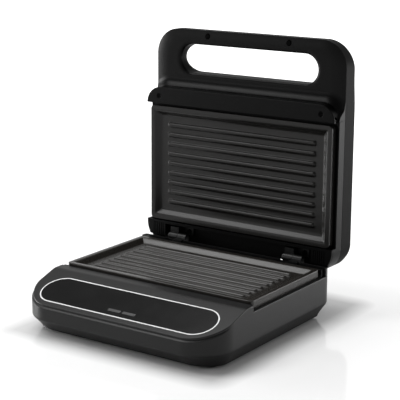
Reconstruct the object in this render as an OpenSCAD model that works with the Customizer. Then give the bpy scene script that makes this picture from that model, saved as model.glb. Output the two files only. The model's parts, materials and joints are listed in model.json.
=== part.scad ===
// Panini press: a ribbed lower plate in a base and a ribbed upper plate in a hinged lid.
// Everything is first drawn closed, round the hinge axis (X right, Y back, Z up), then
// the base is stood on its feet and the lid is swung open about that axis.

/* [Plates] */
// Width of both cooking plates
plate_w = 218; // [200:1:300]
// Length of both cooking plates, front to rear
plate_len = 122.3; // [110:0.1:180]
// Distance from the hinge axis to the plates' rear edges
plate_setback = 15.75; // [14:0.25:20]
// Gap between the plates' rims when the lid is shut
plate_gap = 1.5; // [1:0.1:3]
// Corner radius of the plates, seen from above
plate_corner_r = 4; // [2:0.5:8]
// Width of the flat rim round each cooking tray
rim_w = 5.25; // [4:0.25:8]
// Depth of the cooking tray below the rim
tray_depth = 5.25; // [4:0.25:7]
// Run of the tray's sloping wall
tray_slope = 5.25; // [3:0.25:8]
// Thickness of the plate under the tray
plate_floor = 2.5; // [2:0.1:4]
// Distance between two grill ridges
ridge_pitch = 10.3; // [8:0.1:16]
// Radius of a grill ridge
ridge_r = 2.5; // [1.5:0.1:3]
// Bare floor between the tray's wall and the first ridge
ridge_margin = 9; // [6:0.5:12]
// Bare floor between the tray's wall and the end of a ridge
ridge_end = 11.5; // [6:0.5:20]

/* [Heating] */
// Radius of the tubular heating element
element_r = 3.25; // [2.5:0.05:4]
// Half the distance between the element's two legs
element_leg = 28; // [22:1:32]
// Half length of the element's straight legs
element_reach = 50; // [40:1:60]
// Length of the bare terminal pins
terminal_len = 14; // [8:1:16]
// Radius of a terminal pin
terminal_r = 1.5; // [1:0.1:2]
// Height of the screw bosses on the back of a plate
boss_h = 8.5; // [7.5:0.1:10]
// Radius of the screw bosses on the back of a plate
boss_r = 4; // [3.5:0.1:4.5]
// Distance from the ledges in to the plate screws
plate_screw_in = 11; // [9:0.5:14]
// Sheet thickness of the heat shields
shield_t = 1; // [0.8:0.1:1.5]
// Gap between a heat shield and the ledge round it
shield_gap = 2; // [1:0.25:3]
// Corner radius of the heat shields
shield_corner_r = 6; // [4:0.5:8]
// Radius of the thermostat's can
thermostat_r = 8.5; // [7:0.5:11]
// Height of the thermostat's can
thermostat_h = 6; // [4:0.5:7]
// Width of the thermostat's mounting flange
thermostat_flange_w = 34; // [26:1:40]
// Thickness of the thermostat's mounting flange
thermostat_flange_t = 1.2; // [0.8:0.1:1.5]

/* [Body] */
// Distance from the side of a plate to the side of the body
side_margin = 4; // [3.8:0.1:8]
// Corner radius of the body, seen from above
body_corner_r = 27; // [20:1:30]
// Radius of the base's two front corners, seen from above
base_corner_r = 35; // [20:1:40]
// Distance from the hinge axis to where the rear corners start to round
corner_start = 12.7; // [11:0.1:20]
// Wall thickness of the casings
wall = 2.4; // [2:0.1:3]
// Height of the hinge axis above the table
axis_h = 52; // [48:1:70]
// Angle between the base and the lid when the press stands open
open_angle = 90.6; // [90:0.1:100]
// Distance from the plates' front edges to the front strip
front_gap = 2.95; // [2:0.05:5]
// Depth of the flat strip between the plate and the control slope
strip_len = 11; // [8:0.5:20]
// Depth of the control slope, measured on the level
slope_run = 55.5; // [50:0.5:70]
// Angle of the control slope
slope_angle = 18.5; // [12:0.5:22]
// Drop from the hinge axis to the front strip
strip_drop = 3.1; // [2.5:0.1:4]
// Drop from the hinge axis to the rims of the base's side walls
side_rim_drop = 9; // [8:0.25:12]
// Drop from the hinge axis to the top of the base's rear wall
rear_rim_drop = 1.2; // [1:0.1:2]
// Depth of the raised rear ends of the base's side walls
rear_post_len = 6; // [4:0.5:10]
// Distance from the hinge axis to the base's rear wall
base_setback = 4; // [3.5:0.1:5]
// Height of the bevel round the foot of the base
bevel_h = 13.5; // [8:0.5:16]
// Width of that bevel at the sides and the rear
bevel_side = 8; // [4:0.5:10]
// Width of that bevel at the front
bevel_front = 15; // [8:0.5:20]
// Thickness of the bottom cover
cover_t = 2.4; // [2:0.1:4]
// Edge of the housing left round the bottom cover
cover_margin = 3; // [2.5:0.25:5]
// Width of the lip that the bottom cover rests against
cover_lip = 4; // [3:0.25:5]
// Thickness of the ledges that carry the plates
ledge_t = 2.5; // [2:0.1:4]
// Width of a plate's rim that rests on its ledge
ledge_grip = 5; // [4:0.25:6]
// Gap between a plate's rear edge and the trim behind it
deck_gap = 0.85; // [0.5:0.05:2]
// Drop from the hinge axis to the top of the rear deck
deck_drop = 1.6; // [1.4:0.1:3]
// Thickness of the rear deck
deck_t = 6; // [5:0.25:7]

/* [Control panel] */
// Half length of the panel
panel_half_l = 100.3; // [60:0.1:104]
// Half height of the panel, which is also the radius of its ends
panel_half_h = 19.9; // [14:0.1:22]
// Distance from the top of the slope to the panel's middle, down the slope
panel_back = 31.2; // [26:0.1:33]
// Thickness of the panel
panel_t = 1.2; // [0.8:0.1:1.4]
// Width of the pale ring round the panel
ring_w = 1.25; // [0.8:0.05:2]
// Depth of the pale ring
ring_t = 0.6; // [0.4:0.1:0.7]
// Length of an indicator lens
lens_l = 14.4; // [8:0.1:20]
// Height of an indicator lens
lens_h = 3.4; // [2:0.1:5]
// Gap between the two indicator lenses
lens_gap = 2.5; // [1.5:0.1:10]
// Distance from the panel's middle down to the lenses
lens_drop = 11.3; // [4:0.1:13]
// Distance from the panel's middle to the right, to between the lenses
lens_shift = 2.6; // [-20:0.1:20]
// Width of the rim behind a lens that holds it in
lens_rim = 0.9; // [0.5:0.1:1.2]
// Depth of a lens's rim
lens_rim_t = 1.2; // [0.8:0.1:2]
// Depth of the indicator board below the slope
board_depth = 11; // [9:0.5:13]
// Edge of the indicator board past its screws
board_edge = 4; // [3:0.5:10]
// Width of the indicator board
board_w = 14; // [10:0.5:18]
// Thickness of the indicator board
board_t = 1.6; // [1:0.1:2]
// Gap between a lens and the board post beside it
board_post_gap = 0.7; // [0.4:0.1:6]
// Radius of an indicator lamp
lamp_r = 1.5; // [1:0.1:2]
// Height of an indicator lamp
lamp_h = 5; // [3:0.25:5.5]

/* [Lid] */
// Depth of the dark band at the front of the upper plate
band_len = 17; // [14:0.5:24]
// Thickness of that band
band_t = 2; // [1.5:0.1:3]
// Height of the band's face past the hinge axis plane
band_proud = 1.25; // [0.5:0.05:1.5]
// Step from the side of the body in to the side of the band
band_inset = 0.5; // [0.3:0.1:2]
// Corner radius of the band
band_corner_r = 17; // [10:0.5:19]
// Width of the shoulder left in front of the band
shoulder_w = 2.5; // [2:0.1:5]
// Distance from the shoulder to the handle opening
grip_gap = 12.5; // [8:0.5:20]
// Height of the handle opening
grip_h = 30; // [26:1:40]
// Length of the handle opening
grip_l = 164; // [120:1:176]
// Width of the handle bar in front of the opening
bar_w = 15; // [13:0.5:24]
// Height of the handle's inner face above the hinge axis plane
grip_face_h = 16.5; // [15.5:0.25:17]
// Height of the joint between the lid's two shells
parting_h = 19; // [18.5:0.25:24]
// Height of the rims of the lid's side walls
lid_rim_h = 8; // [6:0.25:8.25]
// Height of the lid's back over the plate
lid_back_h = 40.5; // [38:0.5:50]
// Height of the lid's back at the handle
grip_back_h = 38; // [34:0.5:38]
// Distance from the hinge axis to where the back starts to fall to the handle
back_break = 150; // [140:1:155]
// Distance from the hinge axis to where that fall ends
back_fall_end = 183; // [175:1:190]
// Radius of the lid's back edge at the handle
grip_edge_r = 10; // [4:0.5:14]
// Radius of the lid's back edge at the hinge end
tail_r = 19; // [10:1:20]
// Distance from the hinge axis back to the lid's rear wall
lid_tail = 6.4; // [4:0.1:7]
// Distance from the hinge axis back to the rear edges of the ribbed lips
lip_tail = 1.1; // [0.8:0.1:2]
// Width of the shell's seat behind the lips
lip_seat = 3; // [2:0.25:4]
// Distance from the hinge pins' heads to the end of the open recess round the hinges
recess_margin = 8.15; // [4:0.05:12]
// Depth of that recess
recess_h = 10; // [8:0.5:10.5]
// Thickness of the hinge trim
trim_t = 2.4; // [2:0.1:3]
// Distance between two grooves of the hinge trim
groove_pitch = 2.4; // [2:0.1:4]
// Width of a groove
groove_w = 0.9; // [0.5:0.1:1.2]
// Depth of a groove
groove_d = 0.7; // [0.3:0.1:1]
// Distance from the middle to the handle screws
grip_screw_x = 48.6; // [30:0.1:70]
// Distance from the handle's front edge to the handle screws
grip_screw_in = 5.7; // [5.5:0.1:6]
// Distance from the lid's side to the band screws
band_screw_in = 15.9; // [15:0.1:24]

/* [Hinge] */
// Distance of the left hinge from the middle
hinge_left = 71.75; // [68:0.25:74]
// Distance of the right hinge from the middle
hinge_right = 70; // [50:0.25:74]
// Width of one knuckle
knuckle_w = 10.5; // [8:0.25:11]
// Gap between the two knuckles of a hinge
knuckle_gap = 0.4; // [0.3:0.05:0.8]
// Radius of a knuckle
knuckle_r = 4.3; // [3.8:0.05:4.5]
// Radius of the hinge pin
pin_r = 2; // [1.5:0.05:2.4]
// Radial running clearance on the hinge pin
pin_fit = 0.05; // [0.02:0.01:0.1]
// Radius of the pin's head
pin_head_r = 3.2; // [2.8:0.1:3.5]
// Thickness of the pin's head
pin_head_t = 1.2; // [0.8:0.1:1.4]
// Length of a bracket's foot past its knuckle
foot_reach = 13.5; // [11:0.25:14]
// Distance from a bracket's knuckle to its screw
foot_screw = 8.25; // [7:0.25:9]
// Thickness of a bracket's foot
bracket_t = 2; // [1.5:0.1:2.3]

/* [Feet and small parts] */
// Height of the rubber feet below the bottom cover
foot_h = 1.5; // [1:0.1:6]
// Radius of a rubber foot
foot_r = 7; // [6:0.5:8]
// Radius of a foot's stem
foot_stem_r = 3; // [2:0.1:4]
// Radius of the knob that holds the stem
foot_knob_r = 3.8; // [3.3:0.1:5]
// Thickness of that knob
foot_knob_t = 1.3; // [1:0.1:3]
// Distance from the cover's side edges to a foot's middle
foot_in_x = 14; // [10:0.5:20]
// Distance from the cover's front and rear edges to a foot's middle
foot_in_y = 14; // [10:0.5:20]
// Distance from the middle to the cord inlet
inlet_x = 30; // [10:1:45]
// Distance from the base's bevel up to the collars of the cord inlet
inlet_rise = 2.2; // [0.8:0.1:6]
// Radius of the cord inlet's bore
inlet_r = 3.6; // [3:0.1:4.5]
// Half width of the square inlet bushing in the wall
bushing_half = 6; // [5.5:0.1:7]
// Width of the bushing's two collars
collar_w = 1.8; // [1:0.1:3]
// Thickness of the bushing's two collars
collar_t = 1.5; // [1:0.1:2]
// Radius of the screws' shanks
shank_r = 1.25; // [1:0.05:1.4]
// Radius of the screws' heads
head_r = 2.4; // [2:0.05:2.6]
// Height of the screws' heads
head_t = 1.2; // [0.8:0.05:1.3]
// Radius of the posts that take small screws
post_r = 3.2; // [2.6:0.1:3.5]
// Length of thread below a screw's seat
thread_len = 9; // [6:0.5:10]
// Radial gap between a screw or stem and its hole
hole_gap = 0.1; // [0.05:0.01:0.2]
// Gap between two parts that fit side by side
fit_gap = 0.2; // [0.1:0.05:0.4]
// Length of the terminal block
block_l = 30; // [20:1:40]
// Width of the terminal block
block_w = 14; // [10:1:18]
// Height of the terminal block
block_h = 11; // [8:0.5:14]
// Length of the thermal fuse's sleeve
fuse_l = 16; // [10:1:20]
// Radius of the thermal fuse's sleeve
fuse_r = 2.2; // [1.5:0.1:3]

/* [Hidden] */
$fn = 48;
eps = 0.01;
deep = 400;

// Plates, measured from the hinge axis
body_w = plate_w + 2 * side_margin;
plate_front = plate_setback + plate_len;
plate_mid = plate_setback + plate_len / 2;
rim_h = plate_gap / 2;
tray_floor_h = rim_h + tray_depth;
plate_back_h = tray_floor_h + plate_floor;
tray_in = rim_w + tray_slope;
tray_floor_w = plate_w - 2 * tray_in;
tray_floor_len = plate_len - 2 * tray_in;
ridge_count = floor((tray_floor_len - 2 * ridge_margin) / ridge_pitch) + 1;
shield_h = plate_back_h + boss_h;
carrier_h = shield_h + shield_t;
ledge_half_w = plate_w / 2 - ledge_grip;
ledge_half_len = plate_len / 2 - ledge_grip;
plate_screw_x = ledge_half_w - plate_screw_in;
plate_screw_y = ledge_half_len - plate_screw_in;
arm_past_x = 7;
arm_past_screw = 8;
arm_past_post = 6;
post_to_screw = 19;
hole_r = shank_r + hole_gap;
board_screw_x = lens_gap / 2 + lens_l + lens_rim + board_post_gap + post_r;
board_l = 2 * (board_screw_x + board_edge);

// Base, measured from the hinge axis
strip_front = plate_front + front_gap;
slope_start = strip_front + strip_len;
base_front = slope_start + slope_run;
bay_half_w = body_w / 2 - wall;
frame_half_w = bay_half_w - fit_gap;
base_floor = foot_h - axis_h;
bevel_top = base_floor + bevel_h;
side_bevel_angle = atan(bevel_side / bevel_h);
front_bevel_angle = atan(bevel_front / bevel_h);
inlet_z = bevel_top + inlet_rise + bushing_half + collar_w;
strip_t = wall;
strip_lip = 4;
frame_rear = base_setback + wall + fit_gap;
cover_top = base_floor + cover_t;
cover_w = body_w - 2 * bevel_side - 2 * cover_margin;
cover_front = base_front - bevel_front - cover_margin;
cover_rear = base_setback + bevel_side + cover_margin;
cover_corner_r = 10;
cover_seat_h = 1.1;
cover_post_x = cover_w / 2 - cover_lip - post_r - 2;
cover_post_y = plate_screw_y - post_to_screw;
foot_x = cover_w / 2 - foot_in_x;
foot_mid_y = (cover_front + cover_rear) / 2;
foot_half_y = (cover_front - cover_rear) / 2 - foot_in_y;
deck_front = plate_setback - deck_gap;
deck_wall = 2;
arm_front = deck_front - deck_wall - 1;
base_bracket_screw_y = (arm_front + frame_rear) / 2;

// Lid, measured from the hinge axis
shoulder = strip_front + band_len + shoulder_w;
lid_front = shoulder + grip_gap + grip_h + bar_w;
grip_mid = shoulder + grip_gap + grip_h / 2;
band_back_h = band_t - band_proud;
corner_tail = body_corner_r - corner_start;
lean = open_angle - 90;
lid_reach = max(back_break * sin(lean) + lid_back_h * cos(lean),
                lid_front * sin(lean) + grip_back_h * cos(lean));
hinge_y = (base_front - lid_reach) / 2;
hinge_x = [-hinge_left, hinge_right];
knuckle_shift = (knuckle_w + knuckle_gap) / 2;
pin_half_l = knuckle_w + knuckle_gap / 2 + fit_gap;
recess_half_w = max(hinge_left + pin_half_l + pin_head_t, hinge_right - knuckle_gap / 2 + foot_reach)
    + recess_margin;
band_screw_x = body_w / 2 - band_screw_in;
band_screw_y = strip_front + band_len * 0.45;
grip_screw_y = lid_front - grip_screw_in;
trim_boss_y = 5.5;
bracket_edge = 4.5;

// ---- Placing ----

module on_base() { translate([0, hinge_y, axis_h]) children(); }
module on_lid() { translate([0, hinge_y, axis_h]) rotate([-open_angle, 0, 0]) children(); }
// Turns what is drawn for the lid upside down, for the base
module mirrored() { on_base() mirror([0, 0, 1]) children(); }
// As drawn on the right, mirrored on the left
module on_side(side) { if (side > 0) children(); else mirror([1, 0, 0]) children(); }
// Middle of the control panel, with Z square to the slope
module on_slope() {
    translate([0, -slope_start - panel_back * cos(slope_angle),
               -strip_drop - panel_back * sin(slope_angle)])
        rotate([slope_angle, 0, 0]) children();
}

// ---- Shapes ----

// Rounded rectangle as wide as w, from y0 to y1
module round_rect(w, y0, y1, r) {
    translate([-w / 2, y0 + r]) square([w, y1 - y0 - 2 * r]);
    translate([-w / 2 + r, y0]) square([w - 2 * r, y1 - y0]);
    for (x = [-w / 2 + r, w / 2 - r], y = [y0 + r, y1 - r]) translate([x, y]) circle(r);
}

// Slot with round ends
module stadium(half_l, half_h) {
    square([2 * (half_l - half_h), 2 * half_h], center = true);
    for (side = [-1, 1]) translate([side * (half_l - half_h), 0]) circle(half_h);
}

// Layer between two heights
module layer(z0, z1) { translate([0, 0, z0]) linear_extrude(z1 - z0) children(); }

// Side view (y, z) drawn out along X, centred
module along_x(w) { translate([-w / 2, 0, 0]) rotate([90, 0, 90]) linear_extrude(w) children(); }

// Front view (x, z) drawn out along Y
module along_y(y0, y1) { translate([0, y1, 0]) rotate([90, 0, 0]) linear_extrude(y1 - y0) children(); }

// Box from its two corners
module block(low, high) { translate(low) cube(high - low); }

// Outline of the base or the lid from above: its rear corners are cut off at the tail
module body_outline(front, front_r, tail, inset) {
    intersection() {
        round_rect(body_w - 2 * inset, -front + inset, front, front_r - inset);
        round_rect(body_w - 2 * inset, -2 * front, corner_tail - inset, body_corner_r - inset);
        translate([-body_w, -2 * front]) square([2 * body_w, 2 * front + tail - inset]);
    }
}
module base_outline(inset) { body_outline(base_front, base_corner_r, -base_setback, inset); }
module lid_outline(inset) { body_outline(lid_front, body_corner_r, lid_tail, inset); }

// Screw with its head above z = 0 and its shank below
module screw(shank, len, head, head_h) {
    cylinder(r = head, h = head_h);
    translate([0, 0, -len]) cylinder(r = shank, h = len + eps);
}

// Middle of the two lenses, on the slope
module at_lights() { on_slope() translate([lens_shift, -lens_drop, 0]) children(); }

// Copies at the four plate screws
module at_plate_screws() {
    for (x = [-1, 1], y = [-1, 1]) translate([x * plate_screw_x, -plate_mid + y * plate_screw_y, 0])
        children();
}

// ---- Plate set: the same parts face up in the base and face down in the lid ----

module tray_cut() {
    half_w = plate_w / 2 - rim_w;
    half_len = plate_len / 2 - rim_w;
    translate([0, -plate_mid, 0]) intersection() {
        along_y(-half_len - eps, half_len + eps) polygon([
            [-half_w - eps, rim_h - eps], [half_w + eps, rim_h - eps],
            [half_w - tray_slope, tray_floor_h], [-half_w + tray_slope, tray_floor_h]]);
        along_x(2 * half_w + 1) polygon([
            [-half_len - eps, rim_h - eps], [half_len + eps, rim_h - eps],
            [half_len - tray_slope, tray_floor_h], [-half_len + tray_slope, tray_floor_h]]);
    }
}

module ridges() {
    half_l = tray_floor_w / 2 - ridge_end;
    first = -(ridge_count - 1) * ridge_pitch / 2;
    for (i = [0 : ridge_count - 1]) translate([0, -plate_mid + first + i * ridge_pitch, tray_floor_h]) {
        rotate([0, 90, 0]) cylinder(r = ridge_r, h = 2 * half_l, center = true);
        for (side = [-1, 1]) translate([side * half_l, 0, 0]) sphere(ridge_r);
    }
}

module cooking_plate() {
    difference() {
        union() {
            difference() {
                layer(rim_h, plate_back_h)
                    round_rect(plate_w, -plate_front, -plate_setback, plate_corner_r);
                tray_cut();
            }
            intersection() {
                ridges();
                layer(rim_h, plate_back_h)
                    square([2 * plate_w, 4 * plate_front], center = true);
            }
            at_plate_screws() translate([0, 0, plate_back_h]) cylinder(r = boss_r, h = boss_h);
        }
        at_plate_screws() translate([0, 0, shield_h - boss_h + 1]) cylinder(r = hole_r, h = boss_h);
    }
}

module heating_element() {
    translate([0, -plate_mid, plate_back_h + element_r + hole_gap]) {
        for (side = [-1, 1]) translate([-element_reach, side * element_leg, 0]) rotate([0, 90, 0]) {
            cylinder(r = element_r, h = 2 * element_reach);
            translate([0, 0, -terminal_len]) cylinder(r = terminal_r, h = terminal_len + eps);
        }
        translate([element_reach, 0, 0]) rotate([0, 0, -90]) rotate_extrude(angle = 180)
            translate([element_leg, 0]) circle(element_r);
    }
}

module shield_outline(inset) {
    translate([0, -plate_mid]) round_rect(2 * (ledge_half_w - shield_gap - inset),
        -ledge_half_len + shield_gap + inset, ledge_half_len - shield_gap - inset, shield_corner_r - inset);
}

module heat_shield() {
    difference() {
        layer(plate_back_h, carrier_h) shield_outline(0);
        layer(plate_back_h - 1, shield_h) shield_outline(shield_t);
        at_plate_screws() cylinder(r = hole_r, h = deep);
    }
}

module thermostat() {
    translate([0, -plate_mid, plate_back_h]) {
        block([-thermostat_flange_w / 2, -thermostat_r * 0.7, 0],
              [thermostat_flange_w / 2, thermostat_r * 0.7, thermostat_flange_t]);
        cylinder(r = thermostat_r, h = thermostat_h);
    }
}

module plate_screws() {
    at_plate_screws() translate([0, 0, carrier_h + ledge_t])
        screw(shank_r, thread_len, boss_r, head_t);
}

// Ledge under the plate's rim, with four brackets that reach behind the heat shield
module plate_carrier(half_w, front, rear) {
    difference() {
        union() {
            difference() {
                layer(plate_back_h, plate_back_h + ledge_t)
                    translate([-half_w, -front]) square([2 * half_w, front - rear]);
                layer(plate_back_h - 1, plate_back_h + ledge_t + 1) translate([0, -plate_mid])
                    square([2 * ledge_half_w, 2 * ledge_half_len], center = true);
            }
            for (x = [-1, 1], y = [-1, 1]) translate([0, -plate_mid, 0])
                carrier_arm(x, y, half_w);
        }
        at_plate_screws() cylinder(r = hole_r, h = deep);
    }
}

module carrier_arm(x, y, half_w) {
    near = cover_post_y - arm_past_post;
    far = plate_screw_y + arm_past_screw;
    on_side(x) {
        block([plate_screw_x - arm_past_x, y > 0 ? near : -far, carrier_h],
              [half_w - fit_gap, y > 0 ? far : -near, carrier_h + ledge_t]);
        block([ledge_half_w, y > 0 ? near : -far, plate_back_h + ledge_t - eps],
              [half_w, y > 0 ? far : -near, carrier_h + eps]);
    }
}

// ---- Base ----

// Height of the control slope's outer face at a distance in front of the hinge axis
function slope_z(front) = -strip_drop - (front - slope_start) * tan(slope_angle);

// Lower corners of a bevelled wall, as [way in, height], for a face moved in by t
function bevel_points(t, angle, bottom) = [
    [t, bevel_top + t * tan(angle / 2)],
    [t / cos(angle) + (bevel_top - bottom) * tan(angle), bottom]];

module base_solid(t, bottom, top) {
    front_low = bevel_points(t, front_bevel_angle, bottom);
    side_low = bevel_points(t, side_bevel_angle, bottom);
    side_view = concat(
        [for (p = [front_low[1], front_low[0]]) [-base_front + p[0], p[1]]],
        [[-base_front + t, slope_z(base_front - t) - t / cos(slope_angle)]],
        top,
        [for (p = side_low) [-base_setback - p[0], p[1]]]);
    front_view = concat(
        [[-body_w / 2 + t, axis_h]],
        [for (p = side_low) [-body_w / 2 + p[0], p[1]]],
        [for (p = [side_low[1], side_low[0]]) [body_w / 2 - p[0], p[1]]],
        [[body_w / 2 - t, axis_h]]);
    intersection() {
        layer(base_floor, 0) base_outline(t);
        along_x(2 * body_w) polygon(side_view);
        along_y(-2 * base_front, base_front) polygon(front_view);
    }
}

// Notches over the knuckles, in a wall or deck behind y0
module knuckle_notches(y0) {
    for (x = hinge_x)
        block([x - knuckle_shift - knuckle_w / 2 - pin_head_t - 1, y0, -knuckle_r - 1.5],
              [x + knuckle_shift + knuckle_w / 2 + 1, axis_h, axis_h]);
}

module lens_windows(grow) {
    translate([lens_shift, -lens_drop, -deep / 2]) linear_extrude(deep)
        for (side = [-1, 1]) translate([side * (lens_l + lens_gap) / 2, 0])
            square([lens_l + 2 * grow, lens_h + 2 * grow], center = true);
}

module base_housing() {
    post_y = -base_setback - rear_post_len;
    outer_top = [
        [-slope_start, -strip_drop], [-strip_front, -strip_drop],
        [-strip_front, -side_rim_drop], [post_y, -side_rim_drop],
        [post_y, -rear_rim_drop], [-base_setback, -rear_rim_drop]];
    inner_top_z = -strip_drop - wall / cos(slope_angle);
    inner_top = [[-slope_start, inner_top_z], [-base_setback - wall, inner_top_z]];
    lip_top = cover_top + 2;
    color([0.16, 0.16, 0.17]) on_base() difference() {
        union() {
            difference() {
                base_solid(0, base_floor, outer_top);
                base_solid(wall, lip_top, inner_top);
                layer(lip_top + bevel_h, axis_h) intersection() {
                    base_outline(wall);
                    translate([-body_w, -slope_start]) square([2 * body_w, slope_start]);
                }
                layer(base_floor - 1, lip_top + eps)
                    round_rect(cover_w - 2 * cover_lip, -cover_front + cover_lip,
                               -cover_rear - cover_lip, cover_corner_r - cover_lip);
                layer(base_floor - 1, cover_top)
                    round_rect(cover_w + 2 * fit_gap, -cover_front - fit_gap,
                               -cover_rear + fit_gap, cover_corner_r);
            }
            block([-bay_half_w - eps, -slope_start - 2, -strip_drop - strip_t - 2],
                  [bay_half_w + eps, -slope_start + strip_lip, -strip_drop - strip_t]);
            at_lights() for (side = [-1, 1]) translate([side * board_screw_x, 0, -board_depth])
                cylinder(r = post_r, h = board_depth - panel_t - eps);
        }
        on_slope() {
            layer(-panel_t, axis_h) stadium(panel_half_l + fit_gap, panel_half_h + fit_gap);
            intersection() {
                lens_windows(fit_gap);
                layer(-wall - 1, 1) square([body_w, body_w], center = true);
            }
        }
        at_lights() for (side = [-1, 1]) translate([side * board_screw_x, 0, -board_depth - 1])
            cylinder(r = hole_r, h = board_depth - panel_t - 1);
        knuckle_notches(-base_setback - wall - 1);
        translate([inlet_x, 0, inlet_z]) along_y(-base_setback - wall - 2, 0)
            square(2 * (bushing_half + hole_gap), center = true);
    }
}

module base_inner_frame() {
    post_top = -carrier_h - ledge_t / 2;
    color([0.10, 0.10, 0.105]) on_base() difference() {
        union() {
            mirror([0, 0, 1]) plate_carrier(frame_half_w, strip_front, deck_front - deck_wall);
            // strip in front of the plate and the wall below it
            block([-frame_half_w, -slope_start + fit_gap, -strip_drop - strip_t],
                  [frame_half_w, -strip_front, -strip_drop]);
            block([-frame_half_w, -strip_front, -plate_back_h - ledge_t],
                  [frame_half_w, -strip_front + 2, -strip_drop]);
            // deck behind the plate
            intersection() {
                block([-frame_half_w, -deck_front, -deck_drop - deck_t],
                      [frame_half_w, -frame_rear, -deck_drop]);
                layer(-axis_h, 0) base_outline(wall + fit_gap);
            }
            block([-frame_half_w, -deck_front, -plate_back_h - ledge_t],
                  [frame_half_w, -deck_front + deck_wall, -deck_drop - deck_t + eps]);
            for (x = [-1, 1], y = [-1, 1])
                translate([x * cover_post_x, -plate_mid + y * cover_post_y, cover_top])
                    cylinder(r = post_r, h = post_top - cover_top);
        }
        for (x = [-1, 1], y = [-1, 1])
            translate([x * cover_post_x, -plate_mid + y * cover_post_y, cover_top - 1])
                cylinder(r = hole_r, h = thread_len + 2);
        for (x = hinge_x) translate([x + knuckle_shift, 0, 0]) {
            block([-knuckle_w / 2 - fit_gap, -arm_front, -axis_h / 2],
                  [knuckle_w / 2 + fit_gap, 0, axis_h]);
            translate([knuckle_w / 2 + foot_screw, -base_bracket_screw_y,
                       -deck_drop - deck_t - 1]) cylinder(r = hole_r, h = deck_t);
        }
    }
}

module base_bottom_cover() {
    color([0.13, 0.13, 0.13]) on_base() difference() {
        layer(base_floor, cover_top)
            round_rect(cover_w, -cover_front, -cover_rear, cover_corner_r);
        for (x = [-1, 1], y = [-1, 1]) {
            translate([x * cover_post_x, -plate_mid + y * cover_post_y, base_floor - 1]) {
                cylinder(r = hole_r, h = cover_t + 2);
                cylinder(r = head_r + hole_gap, h = cover_t - cover_seat_h + 1);
            }
            translate([x * foot_x, -foot_mid_y + y * foot_half_y, base_floor - 1])
                cylinder(r = foot_stem_r + hole_gap, h = cover_t + 2);
        }
    }
}

module base_cover_screws() {
    color([0.55, 0.55, 0.56]) on_base() for (x = [-1, 1], y = [-1, 1])
        translate([x * cover_post_x, -plate_mid + y * cover_post_y, cover_top - cover_seat_h])
            mirror([0, 0, 1]) screw(shank_r, thread_len, head_r, min(head_t, cover_t - cover_seat_h));
}

module rubber_feet() {
    color([0.07, 0.07, 0.07]) on_base() for (x = [-1, 1], y = [-1, 1])
        translate([x * foot_x, -foot_mid_y + y * foot_half_y, base_floor]) {
            translate([0, 0, -foot_h]) cylinder(r = foot_r, h = foot_h);
            cylinder(r = foot_stem_r, h = cover_t + foot_knob_t);
            translate([0, 0, cover_t]) cylinder(r = foot_knob_r, h = foot_knob_t);
        }
}

module control_panel() {
    color([0.03, 0.03, 0.032]) on_base() on_slope() difference() {
        union() {
            layer(-panel_t, -ring_t) stadium(panel_half_l, panel_half_h);
            layer(-panel_t, 0) stadium(panel_half_l - ring_w, panel_half_h - ring_w);
        }
        lens_windows(fit_gap);
    }
}

module panel_trim_ring() {
    color([0.93, 0.93, 0.93]) on_base() on_slope() layer(-ring_t, 0) difference() {
        stadium(panel_half_l, panel_half_h);
        stadium(panel_half_l - ring_w + hole_gap, panel_half_h - ring_w + hole_gap);
    }
}

module light_lens(side) {
    on_base() at_lights() translate([side * (lens_l + lens_gap) / 2, 0, 0]) {
        layer(-wall - lens_rim_t, 0) square([lens_l, lens_h], center = true);
        layer(-wall - lens_rim_t, -wall)
            square([lens_l + 2 * lens_rim, lens_h + 2 * lens_rim], center = true);
    }
}
module power_light_lens() { color([0.36, 0.36, 0.37]) light_lens(-1); }
module ready_light_lens() { color([0.36, 0.36, 0.37]) light_lens(1); }

module indicator_board() {
    color([0.10, 0.25, 0.14]) on_base() at_lights() difference() {
        layer(-board_depth - board_t, -board_depth) square([board_l, board_w], center = true);
        for (side = [-1, 1]) translate([side * board_screw_x, 0, -deep / 2])
            cylinder(r = hole_r, h = deep);
    }
}

module indicator_lamps() {
    color([0.80, 0.78, 0.70]) on_base() at_lights() for (side = [-1, 1])
        translate([side * (lens_l + lens_gap) / 2, 0, -board_depth]) {
            cylinder(r = lamp_r, h = lamp_h - lamp_r);
            translate([0, 0, lamp_h - lamp_r]) sphere(lamp_r);
        }
}

module board_screws() {
    color([0.55, 0.55, 0.56]) on_base() at_lights() for (side = [-1, 1])
        translate([side * board_screw_x, 0, -board_depth - board_t])
            mirror([0, 0, 1]) screw(shank_r, board_t + board_depth / 2, head_r, head_t);
}

module lower_plate() { color([0.20, 0.195, 0.19]) mirrored() cooking_plate(); }
module lower_element() { color([0.45, 0.44, 0.42]) mirrored() heating_element(); }
module lower_heat_shield() { color([0.70, 0.70, 0.70]) mirrored() heat_shield(); }
module lower_thermostat() { color([0.80, 0.78, 0.72]) mirrored() thermostat(); }
module lower_plate_screws() { color([0.60, 0.60, 0.60]) mirrored() plate_screws(); }

// The fuse lies in a saddle against the back of the lower heat shield
module thermal_fuse() {
    color([0.85, 0.83, 0.78]) mirrored() translate([0, -plate_mid, carrier_h]) {
        block([-fuse_l / 4, -fuse_r, 0], [fuse_l / 4, fuse_r, fuse_r]);
        translate([-fuse_l / 2, 0, fuse_r]) rotate([0, 90, 0]) cylinder(r = fuse_r, h = fuse_l);
    }
}

module terminal_block() {
    color([0.88, 0.87, 0.82]) on_base() difference() {
        block([inlet_x - block_l / 2, -plate_setback - 2 * block_w, cover_top],
              [inlet_x + block_l / 2, -plate_setback - block_w, cover_top + block_h]);
        for (i = [-1, 0, 1]) translate([inlet_x + i * block_l / 3.5, 0, cover_top + block_h / 2])
            rotate([90, 0, 0]) cylinder(r = block_h / 5, h = deep);
    }
}

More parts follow.
